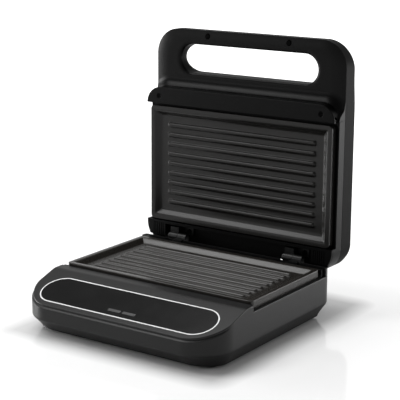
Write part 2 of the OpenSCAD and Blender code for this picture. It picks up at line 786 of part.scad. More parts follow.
module cord_bushing() {
    color([0.06, 0.06, 0.06]) on_base() translate([inlet_x, 0, inlet_z]) rotate([90, 0, 0])
        translate([0, 0, base_setback]) difference() {
            union() {
                layer(-collar_t, 0) square(2 * (bushing_half + collar_w), center = true);
                layer(-eps, wall + eps) square(2 * bushing_half, center = true);
                layer(wall, wall + collar_t) square(2 * (bushing_half + collar_w), center = true);
            }
            translate([0, 0, -collar_t - 1]) cylinder(r = inlet_r, h = wall + 2 * collar_t + 2);
        }
}

// ---- Hinges ----

module knuckle_bore() {
    rotate([0, 90, 0]) cylinder(r = pin_r + pin_fit, h = 2 * knuckle_w, center = true);
}

module base_hinge_brackets() {
    foot_top = -deck_drop - deck_t;
    rear = -frame_rear - fit_gap;
    front = -arm_front + fit_gap;
    color([0.24, 0.24, 0.25]) on_base() for (x = hinge_x) translate([x + knuckle_shift, 0, 0])
        difference() {
            union() {
                rotate([0, 90, 0]) cylinder(r = knuckle_r, h = knuckle_w, center = true);
                block([-knuckle_w / 2, front, -knuckle_r], [knuckle_w / 2, 0, 0]);
                block([-knuckle_w / 2, front, foot_top - bracket_t], [knuckle_w / 2, rear, 0]);
                block([-knuckle_w / 2, front, foot_top - bracket_t],
                      [knuckle_w / 2 + foot_reach, rear, foot_top]);
            }
            knuckle_bore();
            translate([knuckle_w / 2 + foot_screw, -base_bracket_screw_y, -axis_h / 2])
                cylinder(r = hole_r, h = axis_h / 2 + foot_top + 1);
        }
}

module base_bracket_screws() {
    color([0.55, 0.55, 0.56]) on_base() for (x = hinge_x)
        translate([x + knuckle_shift + knuckle_w / 2 + foot_screw, -base_bracket_screw_y,
                   -deck_drop - deck_t - bracket_t])
            mirror([0, 0, 1]) screw(shank_r, bracket_t + deck_t - 1.5, head_r, head_t);
}

module hinge_pins() {
    color([0.62, 0.62, 0.63]) on_base() for (x = hinge_x) translate([x, 0, 0]) rotate([0, 90, 0]) {
        cylinder(r = pin_r, h = 2 * pin_half_l, center = true);
        translate([0, 0, -pin_half_l - pin_head_t]) cylinder(r = pin_head_r, h = pin_head_t);
    }
}

module lid_hinge_brackets() {
    foot_y = -trim_boss_y - bracket_edge;
    color([0.24, 0.24, 0.25]) on_lid() for (x = hinge_x) translate([x - knuckle_shift, 0, 0])
        difference() {
            union() {
                rotate([0, 90, 0]) cylinder(r = knuckle_r, h = knuckle_w, center = true);
                block([-knuckle_w / 2, foot_y, 0], [knuckle_w / 2, 0, recess_h]);
                block([-knuckle_w / 2, foot_y, recess_h - bracket_t],
                      [knuckle_w / 2 + foot_reach, -1, recess_h]);
            }
            knuckle_bore();
            translate([knuckle_w / 2 + foot_screw, -trim_boss_y, knuckle_r])
                cylinder(r = hole_r, h = recess_h);
        }
}

module at_lid_bracket_screws() {
    for (x = hinge_x) translate([x - knuckle_shift + knuckle_w / 2 + foot_screw, -trim_boss_y, 0])
        children();
}

module lid_bracket_screws() {
    color([0.30, 0.30, 0.30]) on_lid() at_lid_bracket_screws() translate([0, 0, recess_h - bracket_t])
        mirror([0, 0, 1]) screw(shank_r, thread_len, head_r, head_t);
}

// ---- Lid ----

module grip_opening(grow) {
    translate([0, -grip_mid]) stadium(grip_l / 2 + grow, grip_h / 2 + grow);
}

// Lid's outline without the handle, with the shoulder's corners
module shoulder_outline(inset) {
    intersection() {
        round_rect(body_w - 2 * inset, -shoulder + inset, corner_tail,
                   band_corner_r + shoulder_w - inset);
        lid_outline(inset);
    }
}

module strip_between(front, rear) {
    intersection() {
        children();
        translate([-body_w, -front]) square([2 * body_w, front - rear]);
    }
}

module lid_inner_shell() {
    floor_back_h = recess_h + trim_t;
    color([0.15, 0.15, 0.155]) on_lid() difference() {
        union() {
            // side walls, higher at the shoulder and at the hinge end
            layer(lid_rim_h, parting_h) difference() {
                shoulder_outline(0);
                shoulder_outline(wall);
            }
            layer(band_back_h, parting_h) strip_between(shoulder, strip_front) difference() {
                shoulder_outline(0);
                shoulder_outline(wall);
            }
            layer(trim_t, parting_h) strip_between(deck_front, -lid_tail) difference() {
                shoulder_outline(0);
                shoulder_outline(wall);
            }
            // seat behind the ribbed lips, out to the rear wall
            layer(trim_t, 2 * trim_t) strip_between(lip_seat - lip_tail, -lid_tail)
                shoulder_outline(0);
            // wall behind the plate's front edge
            block([-bay_half_w - eps, -strip_front - wall, band_back_h],
                  [bay_half_w + eps, -strip_front, grip_face_h]);
            // handle face
            layer(grip_face_h, parting_h) difference() {
                strip_between(lid_front, strip_front) lid_outline(0);
                shoulder_outline(wall);
                grip_opening(0);
            }
            plate_carrier(bay_half_w, strip_front + eps, deck_front - 1);
            // posts for the band's screws, each on two ribs
            for (side = [-1, 1]) on_side(side) {
                translate([band_screw_x, -band_screw_y, band_back_h])
                    cylinder(r = post_r, h = grip_face_h - band_back_h);
                block([band_screw_x - 1, -band_screw_y, band_back_h],
                      [band_screw_x + 1, -strip_front, grip_face_h]);
                block([band_screw_x, -band_screw_y - 1, band_back_h],
                      [bay_half_w + eps, -band_screw_y + 1, grip_face_h]);
            }
            // posts for the hinge brackets' screws
            at_lid_bracket_screws()
                block([-4, -4, floor_back_h], [4, trim_boss_y + lid_tail - wall / 2, parting_h]);
        }
        // the rear wall stays low where the hinges stand
        block([-recess_half_w, -deck_front + 1.5, -1], [recess_half_w, lid_tail + 1, floor_back_h]);
        for (side = [-1, 1]) {
            translate([side * band_screw_x, -band_screw_y, 0])
                cylinder(r = hole_r, h = thread_len + 2);
            translate([side * grip_screw_x, -grip_screw_y, 0]) {
                cylinder(r = hole_r, h = deep);
                cylinder(r = head_r + hole_gap, h = grip_face_h + head_t + 0.2);
            }
        }
        at_lid_bracket_screws() cylinder(r = hole_r, h = recess_h + thread_len - 1);
    }
}

// Side view of the lid's back, moved in by t
module back_view(t) {
    arc_h = lid_back_h - tail_r;
    arc_y = lid_tail - tail_r;
    edge_h = grip_back_h - grip_edge_r;
    edge_y = -lid_front + 0.95 * grip_edge_r;
    polygon([
        [-lid_front - 1, 0], [-lid_front - 1, edge_h], [edge_y, edge_h],
        [edge_y, grip_back_h - t], [-back_fall_end, grip_back_h - t], [-back_break, lid_back_h - t],
        [arc_y, lid_back_h - t], [arc_y, arc_h], [lid_tail - t, arc_h], [lid_tail - t, 0]]);
    translate([arc_y, arc_h]) circle(tail_r - t);
    translate([edge_y, edge_h]) circle(grip_edge_r - t);
}

module cover_solid(t) {
    intersection() {
        layer(parting_h - t / 2, lid_back_h) body_outline(lid_front, body_corner_r, 2 * lid_tail, t);
        along_x(2 * body_w) back_view(t);
    }
}

module lid_outer_cover() {
    pilot = parting_h + thread_len + 2;
    color([0.14, 0.14, 0.145]) on_lid() difference() {
        union() {
            difference() {
                cover_solid(0);
                cover_solid(wall);
            }
            intersection() {
                cover_solid(0);
                layer(parting_h, lid_back_h) union() {
                    grip_opening(wall);
                    for (side = [-1, 1]) translate([side * grip_screw_x, -grip_screw_y])
                        circle(post_r);
                }
            }
        }
        layer(0, 2 * lid_back_h) grip_opening(0);
        for (side = [-1, 1]) translate([side * grip_screw_x, -grip_screw_y, 0])
            cylinder(r = hole_r, h = pilot);
    }
}

module lid_band() {
    color([0.09, 0.09, 0.095]) on_lid() difference() {
        layer(-band_proud, band_back_h) strip_between(shoulder - shoulder_w, strip_front)
            round_rect(body_w - 2 * band_inset, -shoulder + shoulder_w, corner_tail, band_corner_r);
        for (side = [-1, 1]) translate([side * band_screw_x, -band_screw_y, -deep / 2]) {
            cylinder(r = hole_r, h = deep);
            cylinder(r = head_r + hole_gap, h = deep / 2 - band_proud + head_t);
        }
    }
}

module lid_hinge_trim() {
    floor_back_h = recess_h + trim_t;
    groove_count = floor((body_w / 2 - corner_start / 2 - recess_half_w) / groove_pitch);
    color([0.08, 0.08, 0.085]) on_lid() difference() {
        union() {
            // ribbed lips on both sides
            layer(0, trim_t) difference() {
                strip_between(deck_front, -lip_tail) lid_outline(0);
                square([2 * recess_half_w - 2 * trim_t, 4 * deck_front], center = true);
            }
            for (side = [-1, 1]) on_side(side) {
                block([recess_half_w - trim_t, -deck_front + 1.5 + fit_gap, 0],
                      [recess_half_w - fit_gap, lip_tail, floor_back_h]);
                block([recess_half_w - trim_t, 0, trim_t],
                      [recess_half_w - fit_gap, lid_tail, floor_back_h]);
            }
            block([-recess_half_w + fit_gap, -deck_front + 1.5 + fit_gap, recess_h],
                  [recess_half_w - fit_gap, lid_tail, floor_back_h]);
            block([-recess_half_w, -deck_front, 0], [recess_half_w, -deck_front + 1.5, trim_t]);
            block([-recess_half_w + fit_gap, -deck_front + 1.5 + fit_gap - eps, 0],
                  [recess_half_w - fit_gap, -deck_front + 3, floor_back_h]);
        }
        for (side = [-1, 1], i = [0 : groove_count - 1])
            on_side(side) block([recess_half_w + i * groove_pitch, -deck_front + 2, -1],
                                [recess_half_w + i * groove_pitch + groove_w, lip_tail + 1, groove_d]);
        at_lid_bracket_screws() cylinder(r = hole_r, h = 2 * recess_h);
    }
}

module handle_screws() {
    color([0.10, 0.10, 0.10]) on_lid() for (side = [-1, 1])
        translate([side * grip_screw_x, -grip_screw_y, grip_face_h + head_t + 0.2])
            mirror([0, 0, 1]) screw(shank_r, thread_len, head_r, head_t);
}

module band_screws() {
    color([0.10, 0.10, 0.10]) on_lid() for (side = [-1, 1])
        translate([side * band_screw_x, -band_screw_y, -band_proud + head_t])
            mirror([0, 0, 1]) screw(shank_r, thread_len, head_r, head_t - 0.2);
}

module upper_plate() { color([0.17, 0.17, 0.17]) on_lid() cooking_plate(); }
module upper_element() { color([0.45, 0.44, 0.42]) on_lid() heating_element(); }
module upper_heat_shield() { color([0.70, 0.70, 0.70]) on_lid() heat_shield(); }
module upper_thermostat() { color([0.80, 0.78, 0.72]) on_lid() thermostat(); }
module upper_plate_screws() { color([0.60, 0.60, 0.60]) on_lid() plate_screws(); }

base_housing();
base_inner_frame();
base_bottom_cover();
base_cover_screws();
rubber_feet();
control_panel();
panel_trim_ring();
power_light_lens();
ready_light_lens();
indicator_board();
indicator_lamps();
board_screws();
lower_plate();
lower_element();
lower_heat_shield();
lower_thermostat();
lower_plate_screws();
thermal_fuse();
terminal_block();
cord_bushing();
base_hinge_brackets();
base_bracket_screws();
hinge_pins();
lid_outer_cover();
lid_inner_shell();
lid_band();
lid_hinge_trim();
lid_hinge_brackets();
lid_bracket_screws();
handle_screws();
band_screws();
upper_plate();
upper_element();
upper_heat_shield();
upper_thermostat();
upper_plate_screws();
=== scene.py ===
"""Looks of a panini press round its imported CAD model: moulded casings with soft edges,
coated grill plates, a gloss control panel, and a plain pale studio."""

import json
import math

import bmesh
import bpy
from mathutils import Matrix, Vector


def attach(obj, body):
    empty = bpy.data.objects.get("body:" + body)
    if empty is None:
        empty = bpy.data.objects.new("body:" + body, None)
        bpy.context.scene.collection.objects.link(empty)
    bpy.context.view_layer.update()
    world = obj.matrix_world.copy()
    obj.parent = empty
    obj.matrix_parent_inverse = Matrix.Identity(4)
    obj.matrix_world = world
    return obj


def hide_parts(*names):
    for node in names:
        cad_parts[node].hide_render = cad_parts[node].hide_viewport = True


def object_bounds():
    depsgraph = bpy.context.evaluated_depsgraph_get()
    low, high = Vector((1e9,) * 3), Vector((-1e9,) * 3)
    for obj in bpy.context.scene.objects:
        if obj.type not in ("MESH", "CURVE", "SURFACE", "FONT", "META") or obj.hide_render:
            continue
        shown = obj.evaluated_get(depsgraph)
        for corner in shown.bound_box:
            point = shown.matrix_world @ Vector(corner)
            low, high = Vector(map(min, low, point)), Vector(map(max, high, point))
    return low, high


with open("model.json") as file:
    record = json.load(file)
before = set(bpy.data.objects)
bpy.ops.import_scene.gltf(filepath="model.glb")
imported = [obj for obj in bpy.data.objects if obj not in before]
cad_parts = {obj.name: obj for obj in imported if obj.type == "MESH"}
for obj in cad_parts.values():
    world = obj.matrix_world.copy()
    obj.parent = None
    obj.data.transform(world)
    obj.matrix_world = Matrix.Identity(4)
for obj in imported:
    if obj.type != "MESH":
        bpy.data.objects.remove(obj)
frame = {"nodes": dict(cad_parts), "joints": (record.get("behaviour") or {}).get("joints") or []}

cad_low, cad_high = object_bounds()
scene = bpy.context.scene

# ---- Places, in millimetres round the hinge axis ----

MM = 0.001
joint = frame["joints"][0]
hinge = Vector(joint["pos_m"])
open_angle = math.radians(joint["range_deg"][1])
# x right, y back, z up
BASE = Matrix.Translation(hinge) @ Matrix.Scale(MM, 4)
# x right, y towards the handle or the front, z away from the other plate
FORWARD = Matrix.Diagonal((1, -1, 1, 1))
LID = BASE @ Matrix.Rotation(-open_angle, 4, "X") @ FORWARD
LOWER = BASE @ Matrix.Diagonal((1, -1, -1, 1))

WALL = 2.4
PLATE_HALF_W = 109.0
PLATE_HALF_L = 61.15
PLATE_BACK = 15.75                   # hinge axis to the plates
PLATE_MID = PLATE_BACK + PLATE_HALF_L
PLATE_FACE = 0.75                    # height of a plate's rim, half of the gap between the plates
HALF_W = PLATE_HALF_W + 4.0
BAY_FRONT = PLATE_MID + PLATE_HALF_L + 2.95     # front end of the bay that holds a plate
DECK_FRONT = PLATE_BACK - 0.85       # the deck behind the lower plate ends here
CUT = 0.05                           # a CAD node's own mesh is cut this far off a new wall


# ---- Mesh helpers ----

def piece(name, body, place, bm, material, replaces, sharp=38):
    """Turns bm, in the millimetres of place, into a piece that rides on a body and stands for
    the CAD nodes in replaces."""
    same = 1e-4
    bmesh.ops.remove_doubles(bm, verts=bm.verts, dist=same)
    bmesh.ops.dissolve_degenerate(bm, edges=bm.edges, dist=same)
    bmesh.ops.transform(bm, matrix=place, verts=bm.verts)
    bmesh.ops.recalc_face_normals(bm, faces=bm.faces)
    mesh = bpy.data.meshes.new(name)
    bm.to_mesh(mesh)
    bm.free()
    obj = bpy.data.objects.new(name, mesh)
    scene.collection.objects.link(obj)
    mesh.materials.append(material)
    mesh.shade_smooth()
    mesh.set_sharp_from_angle(angle=math.radians(sharp))
    weighted = obj.modifiers.new("Normals", "WEIGHTED_NORMAL")
    weighted.keep_sharp = True
    weighted.weight = 70
    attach(obj, body)
    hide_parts(*replaces)


def loft(bm, rings):
    """Quads between rings of points; returns the rings' vertices."""
    rows = [[bm.verts.new(p) for p in ring] for ring in rings]
    for a, b in zip(rows, rows[1:]):
        for i in range(len(a)):
            j = (i + 1) % len(a)
            bm.faces.new((a[i], a[j], b[j], b[i]))
    return rows


def fill(bm, *loops):
    """One flat face inside the first loop of vertices and outside the others."""
    if len(loops) == 1:
        bm.faces.new(loops[0])
        return
    edges = []
    for loop in loops:
        for i, v in enumerate(loop):
            edges.append(bm.edges.get((v, loop[i - 1])) or bm.edges.new((v, loop[i - 1])))
    bmesh.ops.triangle_fill(bm, edges=edges, use_beauty=True, use_dissolve=False)


def offset(points, d):
    """A closed loop of (x, y), drawn anticlockwise, moved in by d with its corners kept."""
    out = []
    for i, p in enumerate(points):
        a, b = Vector(points[i - 1]), Vector(points[(i + 1) % len(points)])
        p = Vector(p)
        u, w = (p - a).normalized(), (b - p).normalized()
        n, m = Vector((-u.y, u.x)), Vector((-w.y, w.x))
        out.append(p + (n + m) * (d / max(0.2, 1 + n.dot(m))))
    return [(p.x, p.y) for p in out]


def arc(cx, cy, r, a0, a1, n):
    """n + 1 points of an arc; angles in degrees."""
    return [(cx + r * math.cos(math.radians(a0 + (a1 - a0) * i / n)),
             cy + r * math.sin(math.radians(a0 + (a1 - a0) * i / n))) for i in range(n + 1)]


def rounded(x0, x1, y0, y1, r, n):
    """Rounded rectangle, anticlockwise."""
    return (arc(x1 - r, y0 + r, r, -90, 0, n) + arc(x1 - r, y1 - r, r, 0, 90, n)
            + arc(x0 + r, y1 - r, r, 90, 180, n) + arc(x0 + r, y0 + r, r, 180, 270, n))


def stadium(half_l, half_h):
    """Slot outline round the origin, anticlockwise."""
    n = 32
    return (arc(half_l - half_h, 0.0, half_h, -90, 90, n)
            + arc(half_h - half_l, 0.0, half_h, 90, 270, n))


def circle(cx, cy, r):
    n = 24
    return arc(cx, cy, r, 0, 360 - 360 / n, n - 1)


def edge_rings(z0, z1, r0, r1, n):
    """(way in, height) round a wall from z0 to z1, with its two edges rounded by r0 and r1."""
    turns = [i * math.pi / 2 / n for i in range(n + 1)]
    low, high = [(0, z0)], [(0, z1)]
    if r0:
        low = [(r0 * (1 - math.sin(a)), z0 + math.copysign(r0, z1 - z0) * (1 - math.cos(a)))
               for a in turns]
    if r1:
        high = [(r1 * (1 - math.cos(a)), z1 - math.copysign(r1, z1 - z0) * (1 - math.sin(a)))
                for a in turns]
    return low + high


def prism(bm, outer, z0, z1, r0=0.0, r1=0.0, holes=(), n=3):
    """Plate with its edges rounded by r0 and r1. outer and each hole are anticlockwise."""
    ends0, ends1 = [], []
    for loop, inwards in [(outer, 1), *((hole, -1) for hole in holes)]:
        rows = loft(bm, [[(x, y, z) for x, y in offset(loop, inwards * d)]
                         for d, z in edge_rings(z0, z1, r0, r1, n)])
        ends0.append(rows[0])
        ends1.append(rows[-1])
    fill(bm, *ends0)
    fill(bm, *ends1)


def box(bm, low, high):
    outline = [(low[0], low[1]), (high[0], low[1]), (high[0], high[1]), (low[0], high[1])]
    prism(bm, outline, low[2], high[2])


def join(bm, other):
    """Adds the other bmesh to bm."""
    mesh = bpy.data.meshes.new("joined")
    other.to_mesh(mesh)
    other.free()
    bm.from_mesh(mesh)
    bpy.data.meshes.remove(mesh)


def inner_core(node, place, cuts):
    """The CAD node's own inner parts, in the millimetres of place, without what lies past the
    cuts, each a point and a direction."""
    bm = bmesh.new()
    bm.from_mesh(frame["nodes"][node].data)
    bmesh.ops.remove_doubles(bm, verts=bm.verts, dist=1e-6)
    bmesh.ops.transform(bm, matrix=place.inverted(), verts=bm.verts)
    for point, direction in cuts:
        bmesh.ops.bisect_plane(bm, geom=bm.verts[:] + bm.edges[:] + bm.faces[:], dist=1e-4,
                               plane_co=point, plane_no=direction, clear_outer=True)
        bmesh.ops.holes_fill(bm, edges=[e for e in bm.edges if e.is_boundary], sides=0)
    return bm


def onto_outline(inside, x, y):
    """The point near (x, y) where inside is 0, by Newton's steps."""
    t = 1e-3
    for _ in range(3):
        gx = (inside(x + t, y) - inside(x - t, y)) / (2 * t)
        gy = (inside(x, y + t) - inside(x, y - t)) / (2 * t)
        g = max(0.25, gx * gx + gy * gy)
        f = inside(x, y)
        x, y = x - f * gx / g, y - f * gy / g
    return x, y


def field(bm, xs, ys, inside, height):
    """Height field over the lines xs and ys, cut to where inside(x, y), a distance, is above 0.
    Points close to the edge move onto it, so that no thin slivers are left. Returns its faces."""
    close = 0.35                     # as a share of the grid's spacing
    place, value = {}, {}
    for i, x in enumerate(xs):
        for j, y in enumerate(ys):
            place[i, j], value[i, j] = (x, y), inside(x, y)
            near = close * min(xs[min(i + 1, len(xs) - 1)] - xs[max(i - 1, 0)],
                               ys[min(j + 1, len(ys) - 1)] - ys[max(j - 1, 0)]) / 2
            if abs(value[i, j]) < near:
                place[i, j], value[i, j] = onto_outline(inside, x, y), 0.0
    made = {}

    def vertex(key, p):
        if key not in made:
            made[key] = bm.verts.new((p[0], p[1], height(*p)))
        return made[key]

    def crossing(a, b):
        """Where the edge between corner a, inside, and corner b, outside, meets the outline."""
        (ax, ay), (bx, by) = place[a], place[b]
        low, high = 0.0, 1.0
        for _ in range(24):
            mid = (low + high) / 2
            if inside(ax + (bx - ax) * mid, ay + (by - ay) * mid) > 0:
                low = mid
            else:
                high = mid
        return ax + (bx - ax) * low, ay + (by - ay) * low

    faces = []
    for i in range(len(xs) - 1):
        for j in range(len(ys) - 1):
            corners = [(i, j), (i + 1, j), (i + 1, j + 1), (i, j + 1)]
            if max(value[c] for c in corners) <= 0 and min(value[c] for c in corners) < 0:
                continue
            ring = []
            for k, c in enumerate(corners):
                d = corners[(k + 1) % 4]
                if value[c] >= 0:
                    ring.append(vertex(c, place[c]))
                if value[c] * value[d] < 0:
                    a, b = (c, d) if value[c] > 0 else (d, c)
                    ring.append(vertex((min(c, d), max(c, d)), crossing(a, b)))
            if len(ring) > 2:
                faces.append(bm.faces.new(ring))
    return faces


def border(faces):
    """Edges with one face only, among those of a new field, in the same order each run."""
    edges = dict.fromkeys(e for f in faces for e in f.edges)
    return [e for e in edges if len(e.link_faces) == 1]


def skirt(bm, edges, rings):
    """Runs the edges on through rings(vertex place), a list of points for each vertex.
    Returns each vertex's own column."""
    columns = {}
    for e in edges:
        for v in e.verts:
            if v not in columns:
                columns[v] = [v] + [bm.verts.new(p) for p in rings(v.co.copy())]
    for e in edges:
        loop = e.link_faces[0].loops[0]
        while loop.edge != e:
            loop = loop.link_loop_next
        a, b = columns[loop.link_loop_next.vert], columns[loop.vert]
        for k in range(len(a) - 1):
            bm.faces.new((a[k], b[k], b[k + 1], a[k + 1]))
    return columns


def underside(bm, faces, last, height):
    """The field's faces again at another height, joined to the skirts' last vertices."""
    copies = dict(last)
    for f in faces:
        for v in f.verts:
            if v not in copies:
                copies[v] = bm.verts.new((v.co.x, v.co.y, height(v.co.x, v.co.y)))
    for f in faces:
        bm.faces.new([copies[v] for v in reversed(f.verts)])


def lines(stops, steps):
    """Grid lines through the stops, no further apart than each step."""
    out = [stops[0]]
    for a, b, step in zip(stops, stops[1:], steps):
        n = max(1, math.ceil((b - a) / step - 1e-6))
        out += [a + (b - a) * (k + 1) / n for k in range(n)]
    return out


def both_ways(half, middle=0.0):
    """Grid lines mirrored about the middle, from those of one half, which start at 0."""
    return [middle - d for d in reversed(half[1:])] + [middle + d for d in half]


def gradient(f, x, y):
    """Unit direction in which f grows."""
    t = 1e-3
    g = Vector((f(x + t, y) - f(x - t, y), f(x, y + t) - f(x, y - t)))
    return g.normalized() if g.length else Vector((1, 0))


def smooth(t):
    """0 below 0, 1 above 1, and a soft step between."""
    t = min(1.0, max(0.0, t))
    return t * t * (3 - 2 * t)


# ---- Materials ----

def new_material(name):
    material = bpy.data.materials.new(name)
    material.use_nodes = True
    tree = material.node_tree
    shader = tree.nodes["Principled BSDF"]
    coords = tree.nodes.new("ShaderNodeTexCoord")
    return material, tree, shader, coords


def noise(tree, coords, scale, detail=3.0, rough=0.5, stretch=(1, 1, 1)):
    mapping = tree.nodes.new("ShaderNodeMapping")
    mapping.inputs["Scale"].default_value = stretch
    node = tree.nodes.new("ShaderNodeTexNoise")
    node.inputs["Scale"].default_value = scale
    node.inputs["Detail"].default_value = detail
    node.inputs["Roughness"].default_value = rough
    tree.links.new(coords.outputs["Object"], mapping.inputs["Vector"])
    tree.links.new(mapping.outputs["Vector"], node.inputs["Vector"])
    return node.outputs["Fac"]


def ramp(tree, value, low, high, to0, to1):
    node = tree.nodes.new("ShaderNodeMapRange")
    for k, v in zip(("From Min", "From Max", "To Min", "To Max"), (low, high, to0, to1)):
        node.inputs[k].default_value = v
    tree.links.new(value, node.inputs["Value"])
    return node.outputs["Result"]


def blend_colours(tree, factor, a, b):
    node = tree.nodes.new("ShaderNodeMix")
    node.data_type = "RGBA"
    node.inputs["A"].default_value = (*a, 1)
    node.inputs["B"].default_value = (*b, 1)
    tree.links.new(factor, node.inputs["Factor"])
    return node.outputs["Result"]


def bump(tree, shader, height, strength, distance):
    node = tree.nodes.new("ShaderNodeBump")
    node.inputs["Strength"].default_value = strength
    node.inputs["Distance"].default_value = distance
    tree.links.new(height, node.inputs["Height"])
    tree.links.new(node.outputs["Normal"], shader.inputs["Normal"])


def finish(name, colour, rough, spec=0.5, vary=0.12, grain=900.0, depth=0.00003, strength=0.3,
           metal=0.0, rough_vary=0.05, stretch=(1, 1, 1), coat=0.0):
    """A moulded, cast or rolled surface: its colour and gloss vary a little over centimetres,
    and a fine grain breaks up its highlights."""
    material, tree, shader, coords = new_material(name)
    cloud = noise(tree, coords, 14.0, 4.0, 0.55)
    even = ramp(tree, cloud, 0.3, 0.7, 0.0, 1.0)
    dark = tuple(c * (1 - vary) for c in colour)
    light = tuple(c * (1 + vary) for c in colour)
    tree.links.new(blend_colours(tree, even, dark, light), shader.inputs["Base Color"])
    fine = noise(tree, coords, grain, 2.0, 0.6, stretch)
    tree.links.new(ramp(tree, fine, 0.3, 0.7, rough - rough_vary, rough + rough_vary),
                   shader.inputs["Roughness"])
    bump(tree, shader, fine, strength, depth)
    shader.inputs["Metallic"].default_value = metal
    shader.inputs["Specular IOR Level"].default_value = spec
    shader.inputs["Coat Weight"].default_value = coat
    return material


def grey(value, warm=0.0):
    """Linear colour of a grey given as 0 to 255 on screen, warmer above 0."""
    c = (value / 255) ** 2.2
    return (c * (1 + warm), c, c * (1 - warm))


shell_black = finish("shell_black", grey(24), 0.46, spec=0.03, grain=1500, depth=0.00002)
base_black = finish("base_black", grey(28), 0.38, spec=0.22, grain=1500, depth=0.00002)
face_black = finish("face_black", grey(9), 0.32, spec=0.075, grain=1500, depth=0.00002)
trim_black = finish("trim_black", grey(14), 0.40, spec=0.06, grain=1500, depth=0.000015)
panel_black = finish("panel_black", grey(19), 0.20, spec=0.13, grain=60, depth=0.00001,
                     strength=0.05, rough_vary=0.02)
ring_white = finish("ring_white", grey(236), 0.4, spec=0.4, vary=0.02, grain=900)
lens_grey = finish("lens_grey", grey(70), 0.3, spec=0.3, vary=0.05, grain=500, coat=0.1)
# One non-stick coating in two copies: the lower plate's is lighter and warmer as painted light from
# above, and the upper plate's is darker as painted shade on the plate that faces the front.
upper_coating_painted_shade = finish("nonstick_upper_painted_shade", grey(34, 0.05), 0.23, spec=0.17, vary=0.10, grain=2600,
                       depth=0.00003, strength=0.5, rough_vary=0.08)
lower_coating_painted_light = finish("nonstick_lower_painted_light", grey(40, 0.12), 0.25, spec=0.31, vary=0.10, grain=2600,
                       depth=0.00003, strength=0.5, rough_vary=0.08)
rubber = finish("rubber_black", grey(28), 0.75, spec=0.3, grain=1200)
zinc = finish("zinc_plate", grey(150), 0.35, spec=0.5, metal=0.9, grain=500,
              stretch=(1, 8, 8))
bracket = finish("bracket_black", grey(14), 0.36, spec=0.22, grain=900)
pin_steel = finish("pin_steel", grey(56), 0.55, metal=0.9, grain=500, stretch=(1, 8, 8))
# Black screw heads, made darker and duller still: painted shade for the deep wells that the
# handle's screws sit in.
black_screw_painted_well_shade = finish("black_oxide_painted_well_shade", grey(4), 0.6, spec=0.02, grain=900)
element = finish("element_sheath", grey(120, 0.05), 0.42, metal=0.85, grain=700,
                 stretch=(8, 1, 1))
shield = finish("shield_steel", grey(185), 0.30, metal=1.0, grain=300, stretch=(12, 1, 1))
ceramic = finish("ceramic_white", grey(214, 0.04), 0.5, vary=0.04, grain=500)
terminal = finish("terminal_ivory", grey(220, 0.05), 0.45, vary=0.04, grain=500)
board = finish("board_green", (0.010, 0.06, 0.022), 0.4, grain=300)
lamp = finish("lamp_clear", grey(220, 0.05), 0.12, vary=0.02, grain=200)

CAD_FINISH = {
    "base_housing": shell_black, "base_bottom_cover": shell_black, "lid_outer_cover": shell_black,
    "lid_inner_shell": face_black, "base_inner_frame": trim_black, "lid_band": trim_black,
    "lid_hinge_trim": trim_black, "control_panel": panel_black, "panel_trim_ring": ring_white,
    "power_light_lens": lens_grey, "ready_light_lens": lens_grey, "indicator_board": board,
    "indicator_lamps": lamp, "lower_plate": lower_coating_painted_light, "upper_plate": upper_coating_painted_shade,
    "lower_element": element, "upper_element": element, "lower_heat_shield": shield,
    "upper_heat_shield": shield, "lower_thermostat": ceramic, "upper_thermostat": ceramic,
    "thermal_fuse": ceramic, "terminal_block": terminal, "base_hinge_brackets": bracket,
    "lid_hinge_brackets": bracket, "hinge_pins": pin_steel, "handle_screws": black_screw_painted_well_shade,
    "band_screws": black_screw_painted_well_shade, "lid_bracket_screws": black_screw_painted_well_shade, "rubber_feet": rubber,
    "cord_bushing": rubber,
}
for name, node in frame["nodes"].items():
    node.data.materials.clear()
    node.data.materials.append(CAD_FINISH.get(name, zinc))


# ---- Outlines of the base and the lid, y towards the front ----

CORNER_R = 27.0                      # rear corners of both, and front corners of the lid
CORNER_START = 12.7                  # the rear corners begin this far in front of the axis
FILLET = 4.5                         # where the lid's rear corners meet its rear wall


def corner_fillet(tail, fillet):
    """Middle of the fillet between a rear corner's arc and the rear wall at -tail, and the
    turn at which the arc meets it."""
    cx, fy = HALF_W - CORNER_R, fillet - tail
    fx = cx + math.sqrt((CORNER_R - fillet) ** 2 - (CORNER_START - fy) ** 2)
    return fx, fy, math.atan2(CORNER_START - fy, fx - cx)


def corner_path(tail, fillet):
    """Points of the rear right corner, each with its outward direction, from the side to the
    rear wall at -tail."""
    fx, fy, turn = corner_fillet(tail, fillet)
    turn = math.degrees(turn)
    out = []
    for cx, cy, r, angles in (
            (HALF_W - CORNER_R, CORNER_START, CORNER_R, [turn * k / 12 for k in range(13)]),
            (fx, fy, fillet, [turn + (90 - turn) * k / 6 for k in range(1, 7)])):
        for a in angles:
            c, s = math.cos(math.radians(a)), math.sin(math.radians(a))
            out.append((cx + r * c, cy - r * s, c, -s))
    return out


# ---- Lid ----

BAND_LEN = 17.0
BAND_H = (-1.25, 0.7)
SHOULDER = BAY_FRONT + BAND_LEN + 2.5           # the step from the band to the handle
SHOULDER_R = 19.5
GRIP_HALF_L, GRIP_HALF_H = 82.0, 15.0           # opening of the handle
GRIP_MID = SHOULDER + 12.5 + GRIP_HALF_H
LID_FRONT = GRIP_MID + GRIP_HALF_H + 15.0
LID_TAIL = 6.4
PARTING = 19.0                       # height of the line between the lid's two shells
SEAM = 0.15                          # half of that dark line
FACE_H = 16.5                        # of the handle's inner face
LID_RIM = 8.0                        # low edge of the side walls
BACK_H, GRIP_BACK_H = 40.5, 38.0     # of the lid's back, over the plate and over the handle
RECESS_HALF_W = 92.0                 # round the hinges
GRIP_SCREW = (48.6, LID_FRONT - 5.7)
BAND_SCREW = (97.1, BAY_FRONT + 7.65)
SCREW_WELL_R = 3.1


